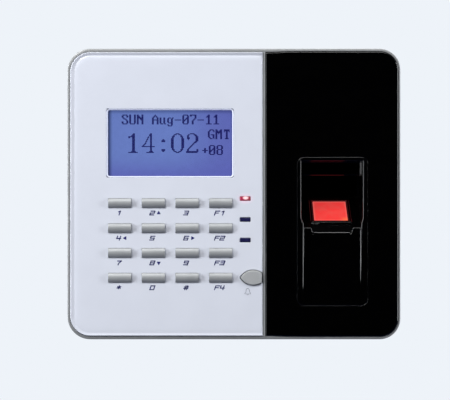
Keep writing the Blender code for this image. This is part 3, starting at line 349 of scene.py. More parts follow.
def lcd_lens(r):
    """Clear acrylic lens: it lets the display through and adds a thin reflection."""
    polish = r.grain(320, 4, 0.02, 0.06)
    gloss = r.add("BsdfGlossy", {"Color": (1, 1, 1, 1), "Roughness": polish})
    clear = r.add("BsdfTransparent", {"Color": (0.985, 0.99, 1.0, 1)})
    aslant = r.add("LayerWeight", {"Blend": 0.5}).outputs["Facing"]
    share = r.plus(r.times(r.sums("POWER", aslant, 4.0), 0.5), 0.018)
    mixed = r.add("MixShader", {0: share, 1: clear.outputs[0], 2: gloss.outputs[0]})
    output = r.tree.nodes["Material Output"]
    r.tree.links.new(mixed.outputs[0], output.inputs["Surface"])


def lens_edge(r):
    """Bevelled rim of the lens, bright with light that leaks out of the display."""
    uneven = r.grain(260, 3, 0.0, 1.0)
    r.set(Base_Color=(0.60, 0.63, 0.71, 1), Roughness=r.grain(600, 3, 0.30, 0.42),
          Emission_Color=r.blend(uneven, (0.30, 0.32, 0.44), (0.40, 0.42, 0.55)),
          Emission_Strength=0.5)


def diffuser(r):
    r.set(Base_Color=r.blend(r.noise(500, 4), (0.78, 0.79, 0.82), (0.88, 0.89, 0.91)),
          Roughness=r.grain(900, 3, 0.32, 0.50), Subsurface_Weight=0.2,
          Subsurface_Scale=0.001)
    r.bumps((r.noise(1800, 2), 6e-6))


def silicone(r):
    r.set(Base_Color=r.blend(r.noise(200, 5), (0.52, 0.54, 0.56), (0.64, 0.66, 0.68)),
          Roughness=r.grain(700, 3, 0.52, 0.72), Subsurface_Weight=0.3,
          Subsurface_Scale=0.001)
    r.bumps((r.noise(1500, 2), 1.5e-5))


def board_green(r):
    """Circuit board: solder resist over copper tracks and the weave of the glass cloth."""
    track = r.add("TexBrick", {"Vector": r.place, "Scale": 240, "Mortar Size": 0.16,
                               "Color1": (1, 1, 1, 1), "Color2": (1, 1, 1, 1),
                               "Mortar": (0, 0, 0, 1)}).outputs["Fac"]
    copper = r.times(track, r.spread(r.noise(60, 2), 0, 1, 0.45, 0.55))
    weave = r.times(r.noise(3000, 1, (1, 1, 0.1)), r.noise(3000, 1, (0.1, 1, 1)))
    r.set(Base_Color=r.blend(copper, (0.008, 0.075, 0.030), (0.030, 0.160, 0.070)),
          Roughness=r.spread(weave, 0.28, 0.46, 0.1, 0.5), Coat_Weight=0.4, Coat_Roughness=0.15)
    r.bumps((copper, 2e-5), (weave, 6e-6))


def platen_glass(r):
    """Optical glass lit from below: red, paler round its edge, a warm patch at one corner."""
    x, y = r.axis("X"), r.axis("Y")
    side = r.spread(r.sums("ABSOLUTE", x), 0, 1, PLATEN_WIDTH / 2 - 0.0014, PLATEN_WIDTH / 2)
    end = r.spread(r.sums("ABSOLUTE", y), 0, 1, PLATEN_LENGTH / 2 - 0.0016, PLATEN_LENGTH / 2)
    rim = r.sums("MAXIMUM", side, end)
    colour = r.blend(r.grain(240, 4, 0, 1), linear(243, 62, 62), linear(236, 78, 74))
    colour = r.blend(r.times(rim, 0.45), colour, linear(246, 138, 128))
    right = r.spread(x, 0, 1, 0.0042, 0.0072)
    warm = r.times(right, r.spread(y, 1, 0, -0.0082, -0.0046))
    colour = r.blend(r.times(warm, 0.6), colour, linear(250, 140, 80))
    r.set(Base_Color=(0.30, 0.015, 0.012, 1), Roughness=r.grain(700, 4, 0.03, 0.10),
          Emission_Color=colour, Emission_Strength=0.80, Specular_IOR_Level=0.25)
    r.bumps((r.noise(500, 2), 1e-6))


def light_lit(r):
    """Status window over a lit lamp: red at the rim, nearly white over the lamp itself."""
    low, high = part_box("light_guide_1")
    middle = (low + high) / 2
    hot = Vector((middle.x + 0.0002, 0, middle.z + 0.0004))
    dx = r.sums("DIVIDE", r.sums("SUBTRACT", r.axis("X"), hot.x), 0.0016)
    dz = r.sums("DIVIDE", r.sums("SUBTRACT", r.axis("Z"), hot.z), 0.0010)
    squares = r.squares(dx, dz)
    glow = r.spread(squares, 1, 0, 0.0, 1.3)
    across = r.spread(r.axis("X"), 0, 1, low.x, high.x)
    rim = r.blend(across, linear(104, 16, 62), linear(70, 22, 40))
    colour = r.blend(glow, rim, (1.0, 0.86, 0.88))
    r.set(Base_Color=(0.30, 0.02, 0.03, 1), Roughness=r.grain(900, 3, 0.14, 0.26),
          Emission_Color=colour, Emission_Strength=1.0)


def light_unlit(r):
    r.set(Base_Color=r.blend(r.grain(700, 4, 0, 1), linear(24, 24, 62), linear(38, 38, 84)),
          Roughness=r.grain(900, 3, 0.14, 0.26), Coat_Weight=0.4, Coat_Roughness=0.08)
    r.bumps((r.noise(900, 2), 2e-6))


def socket_metal(r):
    brushed = r.noise(1700, 3, (1, 1, 0.06))
    r.set(Base_Color=r.blend(brushed, (0.52, 0.52, 0.50), (0.72, 0.72, 0.70)), Metallic=1.0,
          Roughness=r.spread(brushed, 0.20, 0.36))
    r.bumps((brushed, 4e-6))


def contact_gold(r):
    r.set(Base_Color=r.blend(r.noise(2500, 3), (0.78, 0.55, 0.22), (0.92, 0.70, 0.34)),
          Metallic=1.0, Roughness=r.grain(1900, 2, 0.18, 0.32))


def terminal_green(r):
    r.set(Base_Color=r.blend(r.noise(260, 4), (0.016, 0.20, 0.08), (0.030, 0.28, 0.12)),
          Roughness=r.grain(800, 3, 0.32, 0.48))
    r.bumps((r.noise(3600, 2), 8e-6))


def ribbon(r):
    """Flat cable: tinned tracks side by side in amber film."""
    stripes = r.add("TexWave", {"Vector": r.place, "Scale": 320.0}, bands_direction="X")
    track = r.spread(stripes.outputs["Fac"], 0, 1, 0.35, 0.65)
    r.set(Base_Color=r.blend(track, (0.42, 0.25, 0.07), (0.64, 0.56, 0.42)),
          Roughness=r.grain(900, 3, 0.24, 0.38), Coat_Weight=0.3)
    r.bumps((track, 1e-5))


def printed_ink(r, dark, pale):
    """Screen-printed ink, a little uneven, with a slight build of its own."""
    r.set(Base_Color=r.blend(r.grain(1500, 4, 0, 1), dark, pale),
          Roughness=r.grain(1200, 3, 0.30, 0.45))
    r.bumps((r.noise(4000, 2), 3e-6))


def navy_print(r):
    printed_ink(r, linear(22, 28, 92), linear(36, 42, 116))


def grey_print(r):
    printed_ink(r, linear(140, 146, 158), linear(160, 166, 178))


def floor_paper(r):
    """Pale floor that fades out at its edge."""
    distance = r.add("VectorMath", {0: r.place}, operation="LENGTH").outputs["Value"]
    share = r.spread(distance, 0, 1, FLOOR_RADIUS * 0.62, FLOOR_RADIUS * 0.98)
    r.set(Base_Color=r.blend(r.noise(40, 4), (0.78, 0.79, 0.81), (0.81, 0.82, 0.84)),
          Roughness=0.9, Specular_IOR_Level=0.1)
    clear = r.add("BsdfTransparent")
    mixed = r.add("MixShader", {0: share, 1: r.surface.outputs[0], 2: clear.outputs[0]})
    r.tree.links.new(mixed.outputs[0], r.tree.nodes["Material Output"].inputs["Surface"])


def finish(recipe):
    """The material that a recipe function describes, made once."""
    name = "look_" + recipe.__name__
    if name not in bpy.data.materials:
        made = Recipe(name)
        recipe(made)
    return bpy.data.materials[name]


# --------------------------------------------------------------------- shapes in meshes


def linked(name, data):
    """A new object in the scene."""
    obj = bpy.data.objects.new(name, data)
    bpy.context.scene.collection.objects.link(obj)
    return obj


def piece(name, mesh, recipe, body="terminal", stands_for=(), slot=None):
    """A finished piece that rides on a CAD body and may stand for CAD nodes."""
    obj = linked(name, mesh)
    mesh.materials.clear()
    mesh.materials.append(finish(recipe))
    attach(obj, body)
    if stands_for:
        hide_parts(*stands_for)
    return obj


SHARP_ANGLE = radians(35)


def mesh_from(form, name):
    bmesh.ops.recalc_face_normals(form, faces=form.faces)
    mesh = bpy.data.meshes.new(name)
    form.to_mesh(mesh)
    form.free()
    mesh.shade_smooth()
    mesh.set_sharp_from_angle(angle=SHARP_ANGLE)
    return mesh


def blank(name, form):
    """A helper that lends its shape to another object and is then removed."""
    return linked(name, mesh_from(form, name))


def formed(name, form, *rest, **named):
    """A finished piece made straight from a form."""
    return piece(name, mesh_from(form, name), *rest, **named)


def outline(left, right, bottom, top, radii, steps=8, bottom_stops=(), right_stops=()):
    """A rounded rectangle as (x, z) points. Radii start bottom left and go round.

    Extra points can be asked for on the bottom edge, and again on the top one, and on the
    right edge.
    """
    corners = ((left, bottom), (right, bottom), (right, top), (left, top))
    inward = ((1, 1), (-1, 1), (-1, -1), (1, -1))
    edges = ([(x, bottom) for x in bottom_stops], [(right, z) for z in right_stops],
             [(x, top) for x in reversed(bottom_stops)], [])
    points = []
    for index, ((x, z), (sx, sz), radius) in enumerate(zip(corners, inward, radii)):
        if radius <= 0:
            points.append((x, z))
        else:
            for step in range(steps + 1):
                angle = pi + (index + step / steps) * pi / 2
                across = x + sx * radius + radius * cos(angle)
                points.append((across, z + sz * radius + radius * sin(angle)))
        points.extend(edges[index])
    return points


def even_outline(half_width, half_height, radius, x=0.0, z=0.0, steps=6):
    edges = (x - half_width, x + half_width, z - half_height, z + half_height)
    return outline(*edges, (radius,) * 4, steps)


def lens_outline(grow=0.0, steps=20):
    """The bell key's almond: a tip on the left, and cut flat on the right."""
    low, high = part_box("bell_key")
    low, high = low + Vector(BELL_FLANGE), high - Vector((BELL_FLANGE[2], 0, BELL_FLANGE[2]))
    middle_z = (low.z + high.z) / 2
    half_height = (high.z - low.z) / 2 + grow
    half_length = BELL_HALF_LENGTH + grow * 1.3
    radius = (half_length ** 2 + half_height ** 2) / (2 * half_height)
    middle_x = low.x + BELL_HALF_LENGTH
    start, end = middle_x - half_length, high.x + grow
    upper = []
    for step in range(steps + 1):
        x = start + (end - start) * step / steps
        rise = sqrt(radius ** 2 - (x - middle_x) ** 2) - (radius - half_height)
        upper.append((x, middle_z + max(rise, 0.0)))
    return upper + [(x, 2 * middle_z - z) for x, z in reversed(upper[1:])]


def skin(form, rings, closed=False):
    """Faces between rings of equal length, and between the last and first if closed."""
    rows = [[form.verts.new(point) for point in ring] for ring in rings]
    pairs = list(zip(rows, rows[1:]))
    if closed:
        pairs.append((rows[-1], rows[0]))
    count = len(rows[0])
    for near, far in pairs:
        for index in range(count):
            after = (index + 1) % count
            form.faces.new((near[index], near[after], far[after], far[index]))
    return rows


def solid(form, rings):
    """A closed solid: skinned rings with a face over each end."""
    rows = skin(form, rings)
    form.faces.new(rows[0])
    form.faces.new(rows[-1])


def at_depth(points, y):
    return [Vector((x, y, z)) for x, z in points]


def prism(name, points, front, back):
    """A straight solid on an (x, z) outline, from its front depth to its back one."""
    form = bmesh.new()
    solid(form, [at_depth(points, back), at_depth(points, front)])
    return blank(name, form)


def bar(name, profile, left, right):
    """A straight solid on a (y, z) profile that runs along X."""
    form = bmesh.new()
    solid(form, [[Vector((x, y, z)) for y, z in profile] for x in (left, right)])
    return blank(name, form)


def block_into(form, low, high):
    low, high = Vector(low), Vector(high)
    matrix = Matrix.Translation((low + high) / 2) @ Matrix.Diagonal((*(high - low), 1.0))
    return bmesh.ops.create_cube(form, size=1.0, matrix=matrix)["verts"]


def evaluated_mesh(obj):
    bpy.context.view_layer.update()
    graph = bpy.context.evaluated_depsgraph_get()
    return bpy.data.meshes.new_from_object(obj.evaluated_get(graph))


def baked(obj):
    """Turns an object's modifiers into mesh."""
    mesh = evaluated_mesh(obj)
    obj.modifiers.clear()
    obj.data = mesh


def combined(obj, others, operation="DIFFERENCE"):
    """Cuts, joins or intersects an object with helpers, which are then removed."""
    for other in others:
        modifier = obj.modifiers.new("Shape", "BOOLEAN")
        modifier.operation = operation
        modifier.object = other
        modifier.solver = "EXACT"
    baked(obj)
    for other in others:
        bpy.data.objects.remove(other, do_unlink=True)


def taken_mesh(obj):
    """The mesh of a helper, which is removed."""
    mesh = obj.data
    mesh.transform(obj.matrix_world)
    bpy.data.objects.remove(obj, do_unlink=True)
    return mesh


def soft_edges(obj, width, segments=2, angle=35, weld=False):
    """Small rounds on every sharp edge, with flat faces that still shade flat."""
    if weld:
        modifier = obj.modifiers.new("Weld", "WELD")
        modifier.merge_threshold = 1e-5
    modifier = obj.modifiers.new("Edges", "BEVEL")
    modifier.width = width
    modifier.segments = segments
    modifier.limit_method = "ANGLE"
    modifier.angle_limit = radians(angle)
    modifier.use_clamp_overlap = weld
    modifier = obj.modifiers.new("Normals", "WEIGHTED_NORMAL")
    modifier.keep_sharp = False
    modifier.weight = 100
    if not weld:
        obj.data.shade_smooth()
        obj.data.set_sharp_from_angle(angle=radians(180))


def welded_copy(node, name):
    """A helper with the node's own mesh, its split corners joined again."""
    mesh = frame["nodes"][node].data.copy()
    form = bmesh.new()
    form.from_mesh(mesh)
    bmesh.ops.remove_doubles(form, verts=form.verts, dist=1e-6)
    bmesh.ops.dissolve_limit(form, angle_limit=radians(1), verts=form.verts, edges=form.edges)
    form.to_mesh(mesh)
    form.free()
    mesh.name = name
    return linked(name, mesh)


# ------------------------------------------------------------------- ring and panels


def ring_path():
    """Outer (x, z) points of the silver ring with their outward directions."""
    start, end = WALL_CHANGE
    stops = [start + (end - start) * step / 10 for step in range(-1, 12)]
    radii = (LEFT_CORNER, RIGHT_CORNER, RIGHT_CORNER, LEFT_CORNER)
    edges = (TRIM_LOW.x, TRIM_HIGH.x, TRIM_LOW.z, TRIM_HIGH.z)
    outer = outline(*edges, radii, 12, stops)
    nudge = 0.001
    grown = outline(edges[0] - nudge, edges[1] + nudge, edges[2] - nudge, edges[3] + nudge,
                    [radius + nudge for radius in radii], 12, stops)
    return [(Vector(a), (Vector(b) - Vector(a)) / nudge) for a, b in zip(outer, grown)], stops


RING_RISE = 0.0009
RING_PROFILE = (
    # share of the wall from the outside in, and share of the rise that the front has dropped
    (0.0, 1.0), (0.015, 0.70), (0.05, 0.42), (0.10, 0.27), (0.18, 0.17), (0.30, 0.11),
    (0.45, 0.07), (0.60, 0.03), (0.75, 0.01), (0.88, 0.0), (0.95, 0.05), (1.0, 0.20),
)


def silver_ring():
    """Painted ring with a round front edge and a flange down to the rear shell."""
    path, stops = ring_path()
    rear, front = TRIM_HIGH.y, TRIM_LOW.y

    def row(inset, y, share=0.0):
        ring = []
        for point, outward in path:
            wall = trim_wall(point.x) + EXTRA_WALL * abs(outward.y)
            spot = point - outward * (inset + share * wall)
            ring.append(Vector((spot.x, y, spot.y)))
        return ring

    rings = [row(0.0008, rear), row(0.0002, rear - 0.00015), row(0.0, rear - 0.0006)]
    for share, drop in RING_PROFILE:
        rings.append(row(0.0, front + RING_RISE * drop, share))
    rings.append(row(0.0, TRIM_FLANGE, 1.0))
    width, height, radius = SHELL_SEAT
    seat = outline(-width, width, -height, height, (radius,) * 4, 12, stops)
    rings += [at_depth(seat, TRIM_FLANGE), at_depth(seat, rear)]
    form = bmesh.new()
    skin(form, rings, closed=True)
    formed("silver_ring", form, silver_paint, stands_for=("trim_frame",),
          slot="silver_paint")


def groove_depth(depth, z):
    """Depth of a ring of the panel's groove, which grows shallower along its bottom edge."""
    if depth > FACE + 0.00038 or depth < FACE:
        return depth
    return FACE + (depth - FACE) * (1 - 0.7 * eased(-z, 0.056, 0.066))


def white_panel_body():
    """The panel's blank: a raised lip, a shallow groove inside it and a pillowed face."""
    rear = WHITE_REAR
    profile = (
        # inset and depth beside the ring, inset and depth beside the divider
        (0.0, rear, 0.0, rear),
        (0.0, -0.0379, 0.0, -0.0378),
        (0.00008, -0.03822, 0.00006, -0.03795),
        (0.00024, -0.03842, 0.00014, -0.03806),
        (0.00044, -0.03850, 0.00024, -0.03814),
        (0.00062, -0.03844, 0.00034, -0.03820),
        (0.00120, -0.03823, 0.00045, -0.03824),
        (0.00180, -0.03801, 0.00056, -0.03827),
        (0.00205, VALLEY, 0.00067, -0.03829),
        (0.00225, -0.03798, 0.00078, FACE),
        (0.00265, -0.03808, 0.00090, FACE),
        (0.00325, -0.03819, 0.00102, FACE),
        (0.00400, -0.03826, 0.00114, FACE),
        (0.00500, FACE, 0.00126, FACE),
        (0.00560, FACE, 0.00138, FACE),
    )
    edge_x = TRIM_LOW.x + LEFT_WALL + SEAM
    edge_z = TRIM_HIGH.z - LEFT_WALL - EXTRA_WALL - SEAM
    corner = LEFT_CORNER - LEFT_WALL - SEAM
    side = DIVIDER_LOW.x - 0.0002
    reach = 0.0655
    rings = []
    for inset, depth, side_inset, side_depth in profile:
        radius = max(corner - inset, 0.0005)
        right = side - side_inset
        limit = edge_z - inset * 0.80
        points = outline(edge_x + inset, right, -limit, limit,
                         (radius, 0, 0, radius), 12, (), (-reach, 0.0, reach))
        ring = []
        for x, z in points:
            beside_divider = x > right - 1e-6 and abs(z) <= reach
            ring.append(Vector((x, side_depth if beside_divider else groove_depth(depth, z), z)))
        rings.append(ring)
    form = bmesh.new()
    solid(form, rings)
    return blank("white_blank", form)


WINDOW_GAP = 0.0009
WINDOW_CORNER = 0.0008
KEY_HOLE_CORNER = 0.0003
LIGHT_GAP = 0.0001
LIGHT_CORNER = 0.0004
BELL_GAP = 0.00034


def white_panel():
    obj = white_panel_body()
    front, back = FACE - BEYOND, WHITE_REAR + BEYOND
    x, z, half_width, half_height = span(WINDOW_LOW, WINDOW_HIGH)
    window = even_outline(half_width + WINDOW_GAP, half_height + WINDOW_GAP, WINDOW_CORNER, x, z)
    cutters = [prism("window_hole", window, front, back)]
    for node in KEY_LEGENDS:
        x, z, half_width, half_height = span(*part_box(node))
        hole = even_outline(half_width - KEY_FLANGE - KEY_SIDE + KEY_CLEARANCE,
                            half_height - KEY_FLANGE + KEY_CLEARANCE, KEY_HOLE_CORNER, x, z, 3)
        cutters.append(prism(node + "_hole", hole, front, back))
    for number in (1, 2, 3):
        x, z, half_width, half_height = span(*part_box(f"light_guide_{number}"))
        hole = even_outline(half_width + LIGHT_GAP, half_height + LIGHT_GAP, LIGHT_CORNER, x, z, 3)
        cutters.append(prism(f"light_{number}_hole", hole, front, back))
    cutters.append(prism("bell_hole", lens_outline(BELL_GAP), front, back))
    combined(obj, cutters)
    panel = piece("white_panel", taken_mesh(obj), white_gloss, stands_for=("white_front_panel",),
                  slot="white_gloss")
    soft_edges(panel, 0.00022, 3, 50)


def black_panel():
    """Black half with a rounded edge, which follows the ring where that changes width."""
    rear = BLACK_HIGH.y
    front = BLACK_LOW.y
    stops = [WALL_CHANGE[0] + 0.0016 + (WALL_CHANGE[1] - WALL_CHANGE[0]) * step / 8
             for step in range(9)]
    left = DIVIDER_HIGH.x + 0.00008
    right = TRIM_HIGH.x - RIGHT_WALL - SEAM
    top = TRIM_HIGH.z - RIGHT_WALL - EXTRA_WALL - SEAM
    corner = RIGHT_CORNER - RIGHT_WALL - SEAM
    round_over = 0.00085
    rings = [(0.0, rear)]
    steps = 6
    for step in range(steps + 1):
        turn = pi / 2 * step / steps
        rings.append((round_over * (1 - cos(turn)), front + round_over * (1 - sin(turn))))
    form = bmesh.new()
    bands = []
    for inset, depth in rings + [(0.0020, front)]:
        points = outline(left + inset * 0.4, right - inset, inset - top, top - inset,
                         (0, corner - inset, corner - inset, 0), 12, stops)
        bands.append([Vector((x, depth, z - (trim_wall(x) - RIGHT_WALL) * (1 if z > 0 else -1)))
                      for x, z in points])
    solid(form, bands)
    obj = blank("black_blank", form)
    hole = outline(BEZEL_LOW.x - SEAM, BEZEL_HIGH.x + SEAM, BEZEL_LOW.z - SEAM,
                   BEZEL_HIGH.z + SEAM, (0.0036,) * 4, 10)
    combined(obj, [prism("bezel_hole", hole, front - BEYOND, rear + BEYOND)])
    panel = piece("black_panel", taken_mesh(obj), black_gloss, stands_for=("black_front_panel",),
                  slot="black_gloss")
    soft_edges(panel, 0.00012, 2, 50)


def divider():
    """Silver strip between the halves: a shallow channel on its left, a land on its right."""
    left, right = DIVIDER_LOW.x - 0.00012, DIVIDER_HIGH.x
    rear = DIVIDER_HIGH.y
    profile = ((left, rear), (left, -0.03765), (left + 0.00012, -0.03775),
               (left + 0.00055, -0.03778), (left + 0.00066, -0.03812), (left + 0.00075, -0.03822),
               (right - 0.0002, -0.03822), (right - 0.00006, -0.03812), (right, -0.0379),
               (right, rear))
    form = bmesh.new()
    half = DIVIDER_HIGH.z
    solid(form, [[Vector((x, y, z)) for x, y in profile] for z in (-half, half)])
    obj = formed("divider", form, silver_paint, stands_for=("divider_strip",),
                slot="silver_paint")
    soft_edges(obj, 0.00004, 2)


# ------------------------------------------------------------------------------ display

SMALL_GLYPHS = {
    "S": ".#####. ##...## ##...## .##.... ..###.. ....##. .....## ##...## ##...## .#####.",
    "U": "##...## " * 9 + ".#####.",
    "N": "##...## ###..## ####.## ####### ##.#### ##..### ##...## ##...## ##...## ##...##",
    "A": "...#... ..###.. .##.##. ##...## ##...## ####### ##...## ##...## ##...## ##...##",
    "u": "....... " * 3 + "##..##. " * 6 + ".###.##",
    "g": "....... " * 3 + ".###.## " + "##..##. " * 4 + ".#####. ....##. ##..##. .####..",
    "-": "....... " * 5 + "#######",
    "+": "....... " * 3 + "...##.. ...##.. .###### ...##.. ...##..",
    "0": ".#####. ##...## ##...## ##..### ##.#### ####.## ###..## ##...## ##...## .#####.",
    "7": "####### ##...## .....## .....## ....##. ...##.. " + "..##... " * 4,
    "1": "...##.. ..###.. .####.. " + "...##.. " * 6 + ".######",
    "8": ".#####. ##...## ##...## ##...## .#####. ##...## ##...## ##...## ##...## .#####.",
    "G": "..####. .##..## ##....# ##..... ##..... ##.#### ##...## ##...## .##..## ..###.#",
    "M": "##...## ###.### ####### ####### ##.#.## " + "##...## " * 5,
    "T": ".###### .###### .#.##.# " + "...##.. " * 6 + "..####.",
}
STEM = "....###... "
SIDES = "###........### "
BIG_GLYPHS = {
    "1": ".....##... ....###... ...####... #######... ##..###... " + STEM * 13
         + "...#####.. ##########",
    "4": ".........##... ........###... ........###... .......#.##... ......##.##... "
         "......#..##... .....##..##... .....#...##... ....##...##... ....#....##... "
         "...##....##... ..##.....##... .##......##... ############## .........##... "
         ".........##... .........##... .........##... ........####.. .....########.",
    ":": ".... " * 6 + ".##. #### #### " + ".... " * 7 + "#### #### .##.",
    "0": ".....####..... ...###..###... ..##......##.. .###......###. .##........##. "
         + SIDES * 10
         + ".##........##. .###......###. ..##......##.. ...###..###... .....####.....",
    "2": "....#####.... ..##....###.. .##......###. .##.......### .###......### "
         ".###......### ..#.......### ..........### .........###. ........###.. "
         ".......##.... ......##..... .....##...... ....##....... ...##........ "
         "..##......... .##........## .##........## ############# ############.",
}
DOT_ROWS = 64
DOT_COLUMNS = 128
DOT_PITCH_X = 0.000480
DOT_PITCH_Z = 0.000499
DOT_FILL = 0.96
DOTS_SHIFT = (0.0003, 0.0001)


def display_dots():
    """(column, row) of every driven dot: the date, the time and the time zone."""
    lines = (
        (SMALL_GLYPHS, "SUN Aug-07-11", [12 + 8 * n for n in range(13)], 3),
        (SMALL_GLYPHS, "GMT", [103, 111, 119], 18),
        (SMALL_GLYPHS, "+08", [96, 104, 112], 34),
        (BIG_GLYPHS, "14:02", [19, 33, 54, 64, 80], 22),
    )
    for glyphs, text, columns, top in lines:
        for letter, column in zip(text, columns):
            for row, cells in enumerate(glyphs.get(letter, "").split()):
                for step, cell in enumerate(cells):
                    if cell == "#":
                        yield column + step, top + row


def display():
    form = bmesh.new()
    middle = span(WINDOW_LOW, WINDOW_HIGH)[:2]
    half_width, half_height = span(GLASS_LOW, GLASS_HIGH)[2:]
    rings = []
    for inset, depth in ((0.0, GLASS_HIGH.y), (0.0, GLASS_LOW.y + 0.0001), (0.0001, GLASS_LOW.y),
                         (0.002, GLASS_LOW.y)):
        points = even_outline(half_width - inset, half_height - inset, 0.0006, *middle, 3)
        rings.append(at_depth(points, depth))
    solid(form, rings)
    formed("display_cell", form, lcd_cell, stands_for=("lcd_glass",),
          slot="lcd_cell")
    dots_left = middle[0] - DOT_COLUMNS * DOT_PITCH_X / 2 + DOTS_SHIFT[0]
    dots_top = middle[1] + DOT_ROWS * DOT_PITCH_Z / 2 + DOTS_SHIFT[1]
    form = bmesh.new()
    for column, row in display_dots():
        x, z = dots_left + column * DOT_PITCH_X, dots_top - row * DOT_PITCH_Z
        depth = GLASS_LOW.y
        block_into(form, (x, depth - 0.00003, z - DOT_PITCH_Z * DOT_FILL),
                   (x + DOT_PITCH_X * DOT_FILL, depth + 0.00002, z))
    formed("display_dots", form, lcd_ink)


def display_window():
    """Clear lens, and its bright bevelled rim in the panel's opening."""
    x, z, half_width, half_height = span(WINDOW_LOW, WINDOW_HIGH)

    def rings(rows):
        made = []
        for grow, depth in rows:
            radius = max(WINDOW_CORNER + grow, 0.0001)
            points = even_outline(half_width + grow, half_height + grow, radius, x, z, 4)
            made.append(at_depth(points, depth))
        return made

    form = bmesh.new()
    solid(form, rings(((0.0, WINDOW_HIGH.y), (0.0, WINDOW_LOW.y + 0.0001),
                       (-0.0001, WINDOW_LOW.y), (-0.0006, WINDOW_LOW.y))))
    formed("window_lens", form, lcd_lens, stands_for=("lcd_window",),
          slot="lcd_lens")
    form = bmesh.new()
    skin(form, rings(((0.00016, WINDOW_HIGH.y), (0.00016, WINDOW_LOW.y + 0.0002),
                      (0.00023, WINDOW_LOW.y + 0.00005), (0.00050, WINDOW_LOW.y - 0.0002),
                      (0.00070, FACE - 0.00005), (0.00082, FACE + 0.0001),
                      (0.00082, WINDOW_HIGH.y))), closed=True)
    formed("window_rim", form, lens_edge)


# --------------------------------------------------------------------------------- keys


def key_mesh(name, node):
    """A cap that is round from top to bottom, with softened ends."""
    low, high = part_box(node)
    edge = Vector((KEY_FLANGE + KEY_SIDE, 0, KEY_FLANGE))
    low, high = low + edge, high - edge
    middle_z, half = (low.z + high.z) / 2, (high.z - low.z) / 2
    crown = 0.00100
    steps = 14
    profile = [(high.y, low.z), (high.y, high.z)]
    for step in range(steps + 1):
        z = half * (1 - 2 * step / steps)
        profile.append((low.y + crown * (z / half) ** 2, middle_z + z))
    form = bmesh.new()
    rings = []
    for x in (low.x, high.x):
        rings.append([Vector((x, y, z)) for y, z in profile])
    solid(form, rings)
    return mesh_from(form, name)


def keys():
    for node in KEY_LEGENDS:
        name = node + "_cap"
        obj = piece(name, key_mesh(name, node), key_silver, node + "_body", (node,), "key_silver")
        soft_edges(obj, 0.00016, 3)


def bell_button():
    """Domed almond key."""
    low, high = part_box("bell_key")
    rings = [at_depth(lens_outline(0.0), high.y)]
    steps = 7
    drop, shrink = 0.00022, 0.0007
    for step in range(steps + 1):
        share = step / steps
        points = lens_outline(-shrink * share ** 1.2)
        rings.append(at_depth(points, low.y + drop * (1 - share) ** 2))
    form = bmesh.new()
    solid(form, rings)
    obj = formed("bell_button", form, bell_silver, "bell_key_body",
                ("bell_key",), "key_silver")
    soft_edges(obj, 0.0002, 2, 50)


def light_windows():
    for number in (1, 2, 3):
        low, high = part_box(f"light_guide_{number}")
        x, z, half_width, half_height = span(low, high)
        rings = []
        front = FACE - 0.00012
        profile = ((0.0, high.y), (0.0, front + 0.0003), (0.00005, front + 0.00012),
                   (0.00018, front), (0.0005, front - 0.00006), (0.0009, front - 0.00008))
        for inset, depth in profile:
            radius = max(LIGHT_CORNER - inset, 0.0001)
            points = even_outline(half_width - inset, half_height - inset, radius, x, z, 4)
            rings.append(at_depth(points, depth))
        form = bmesh.new()
        solid(form, rings)
        name = f"status_window_{number}"
        recipe, slot = (light_lit, "light_lit") if number == 1 else (light_unlit, "light_unlit")
        formed(name, form, recipe, stands_for=(f"light_guide_{number}",), slot=slot)


# ------------------------------------------------------------------------------ legends

LEGEND_DROP = 0.0050
LEGEND_SHIFT = -0.0005
LEGEND_HEIGHT = 0.0019
LEGEND_WIDTH = 0.0019
LEGEND_STROKE = 0.00052
LEGEND_SLANT = 0.38
LEGEND_BUILD = 0.00002
SIGN_STROKE = 0.00022
ARROW_SHIFT = 0.0027
ARROW_SIZE = 0.00120

# Strokes of each figure on a unit square, from its bottom left corner.
LEGEND_STROKES = {
    "0": (((0, 0), (1, 0), (1, 1), (0, 1), (0, 0)),),
    "1": (((0.35, 0.8), (0.75, 1), (0.75, 0)),),
    "2": (((0, 1), (1, 1), (1, 0.5), (0, 0.5), (0, 0), (1, 0)),),
    "3": (((0, 1), (1, 1), (1, 0), (0, 0)), ((0.15, 0.5), (1, 0.5))),
    "4": (((0, 1), (0, 0.4), (1, 0.4)), ((0.8, 1), (0.8, 0))),
    "5": (((1, 1), (0, 1), (0, 0.5), (1, 0.5), (1, 0), (0, 0)),),
    "6": (((1, 1), (0, 1), (0, 0), (1, 0), (1, 0.5), (0, 0.5)),),
    "7": (((0, 1), (1, 1), (0.5, 0.4), (0.5, 0)),),
    "8": (((0, 0), (1, 0), (1, 1), (0, 1), (0, 0)), ((0, 0.5), (1, 0.5))),
    "9": (((0, 0), (1, 0), (1, 1), (0, 1), (0, 0.5), (1, 0.5)),),
    "F": (((0, 0), (0, 1), (1, 1)), ((0, 0.5), (0.8, 0.5))),
    "*": (((0.5, 0.95), (0.5, 0.25)), ((0.1, 0.8), (0.9, 0.4)), ((0.1, 0.4), (0.9, 0.8))),
    "#": (((0.3, 0), (0.3, 1)), ((0.75, 0), (0.75, 1)),
          ((0, 0.3), (1, 0.3)), ((0, 0.7), (1, 0.7))),
}


def stroke_into(form, start, end, width=LEGEND_STROKE):
    """One straight stroke of ink with square ends, between two points of the panel."""
    start, end = Vector(start), Vector(end)
    along = (end - start).normalized() * width / 2
    aside = Vector((-along.y, along.x))
    corners = (start - along - aside, end + along - aside, end + along + aside,
               start - along + aside)
    solid(form, [at_depth(corners, FACE + LEGEND_BUILD), at_depth(corners, FACE - LEGEND_BUILD)])


def figure_into(form, letter, left, foot):
    for line in LEGEND_STROKES[letter]:
        spots = []
        for across, up in line:
            height = (up - 0.5) * LEGEND_HEIGHT
            x = left + across * LEGEND_WIDTH + height * LEGEND_SLANT
            spots.append((x, foot + up * LEGEND_HEIGHT))
        for start, end in zip(spots, spots[1:]):
            stroke_into(form, start, end)


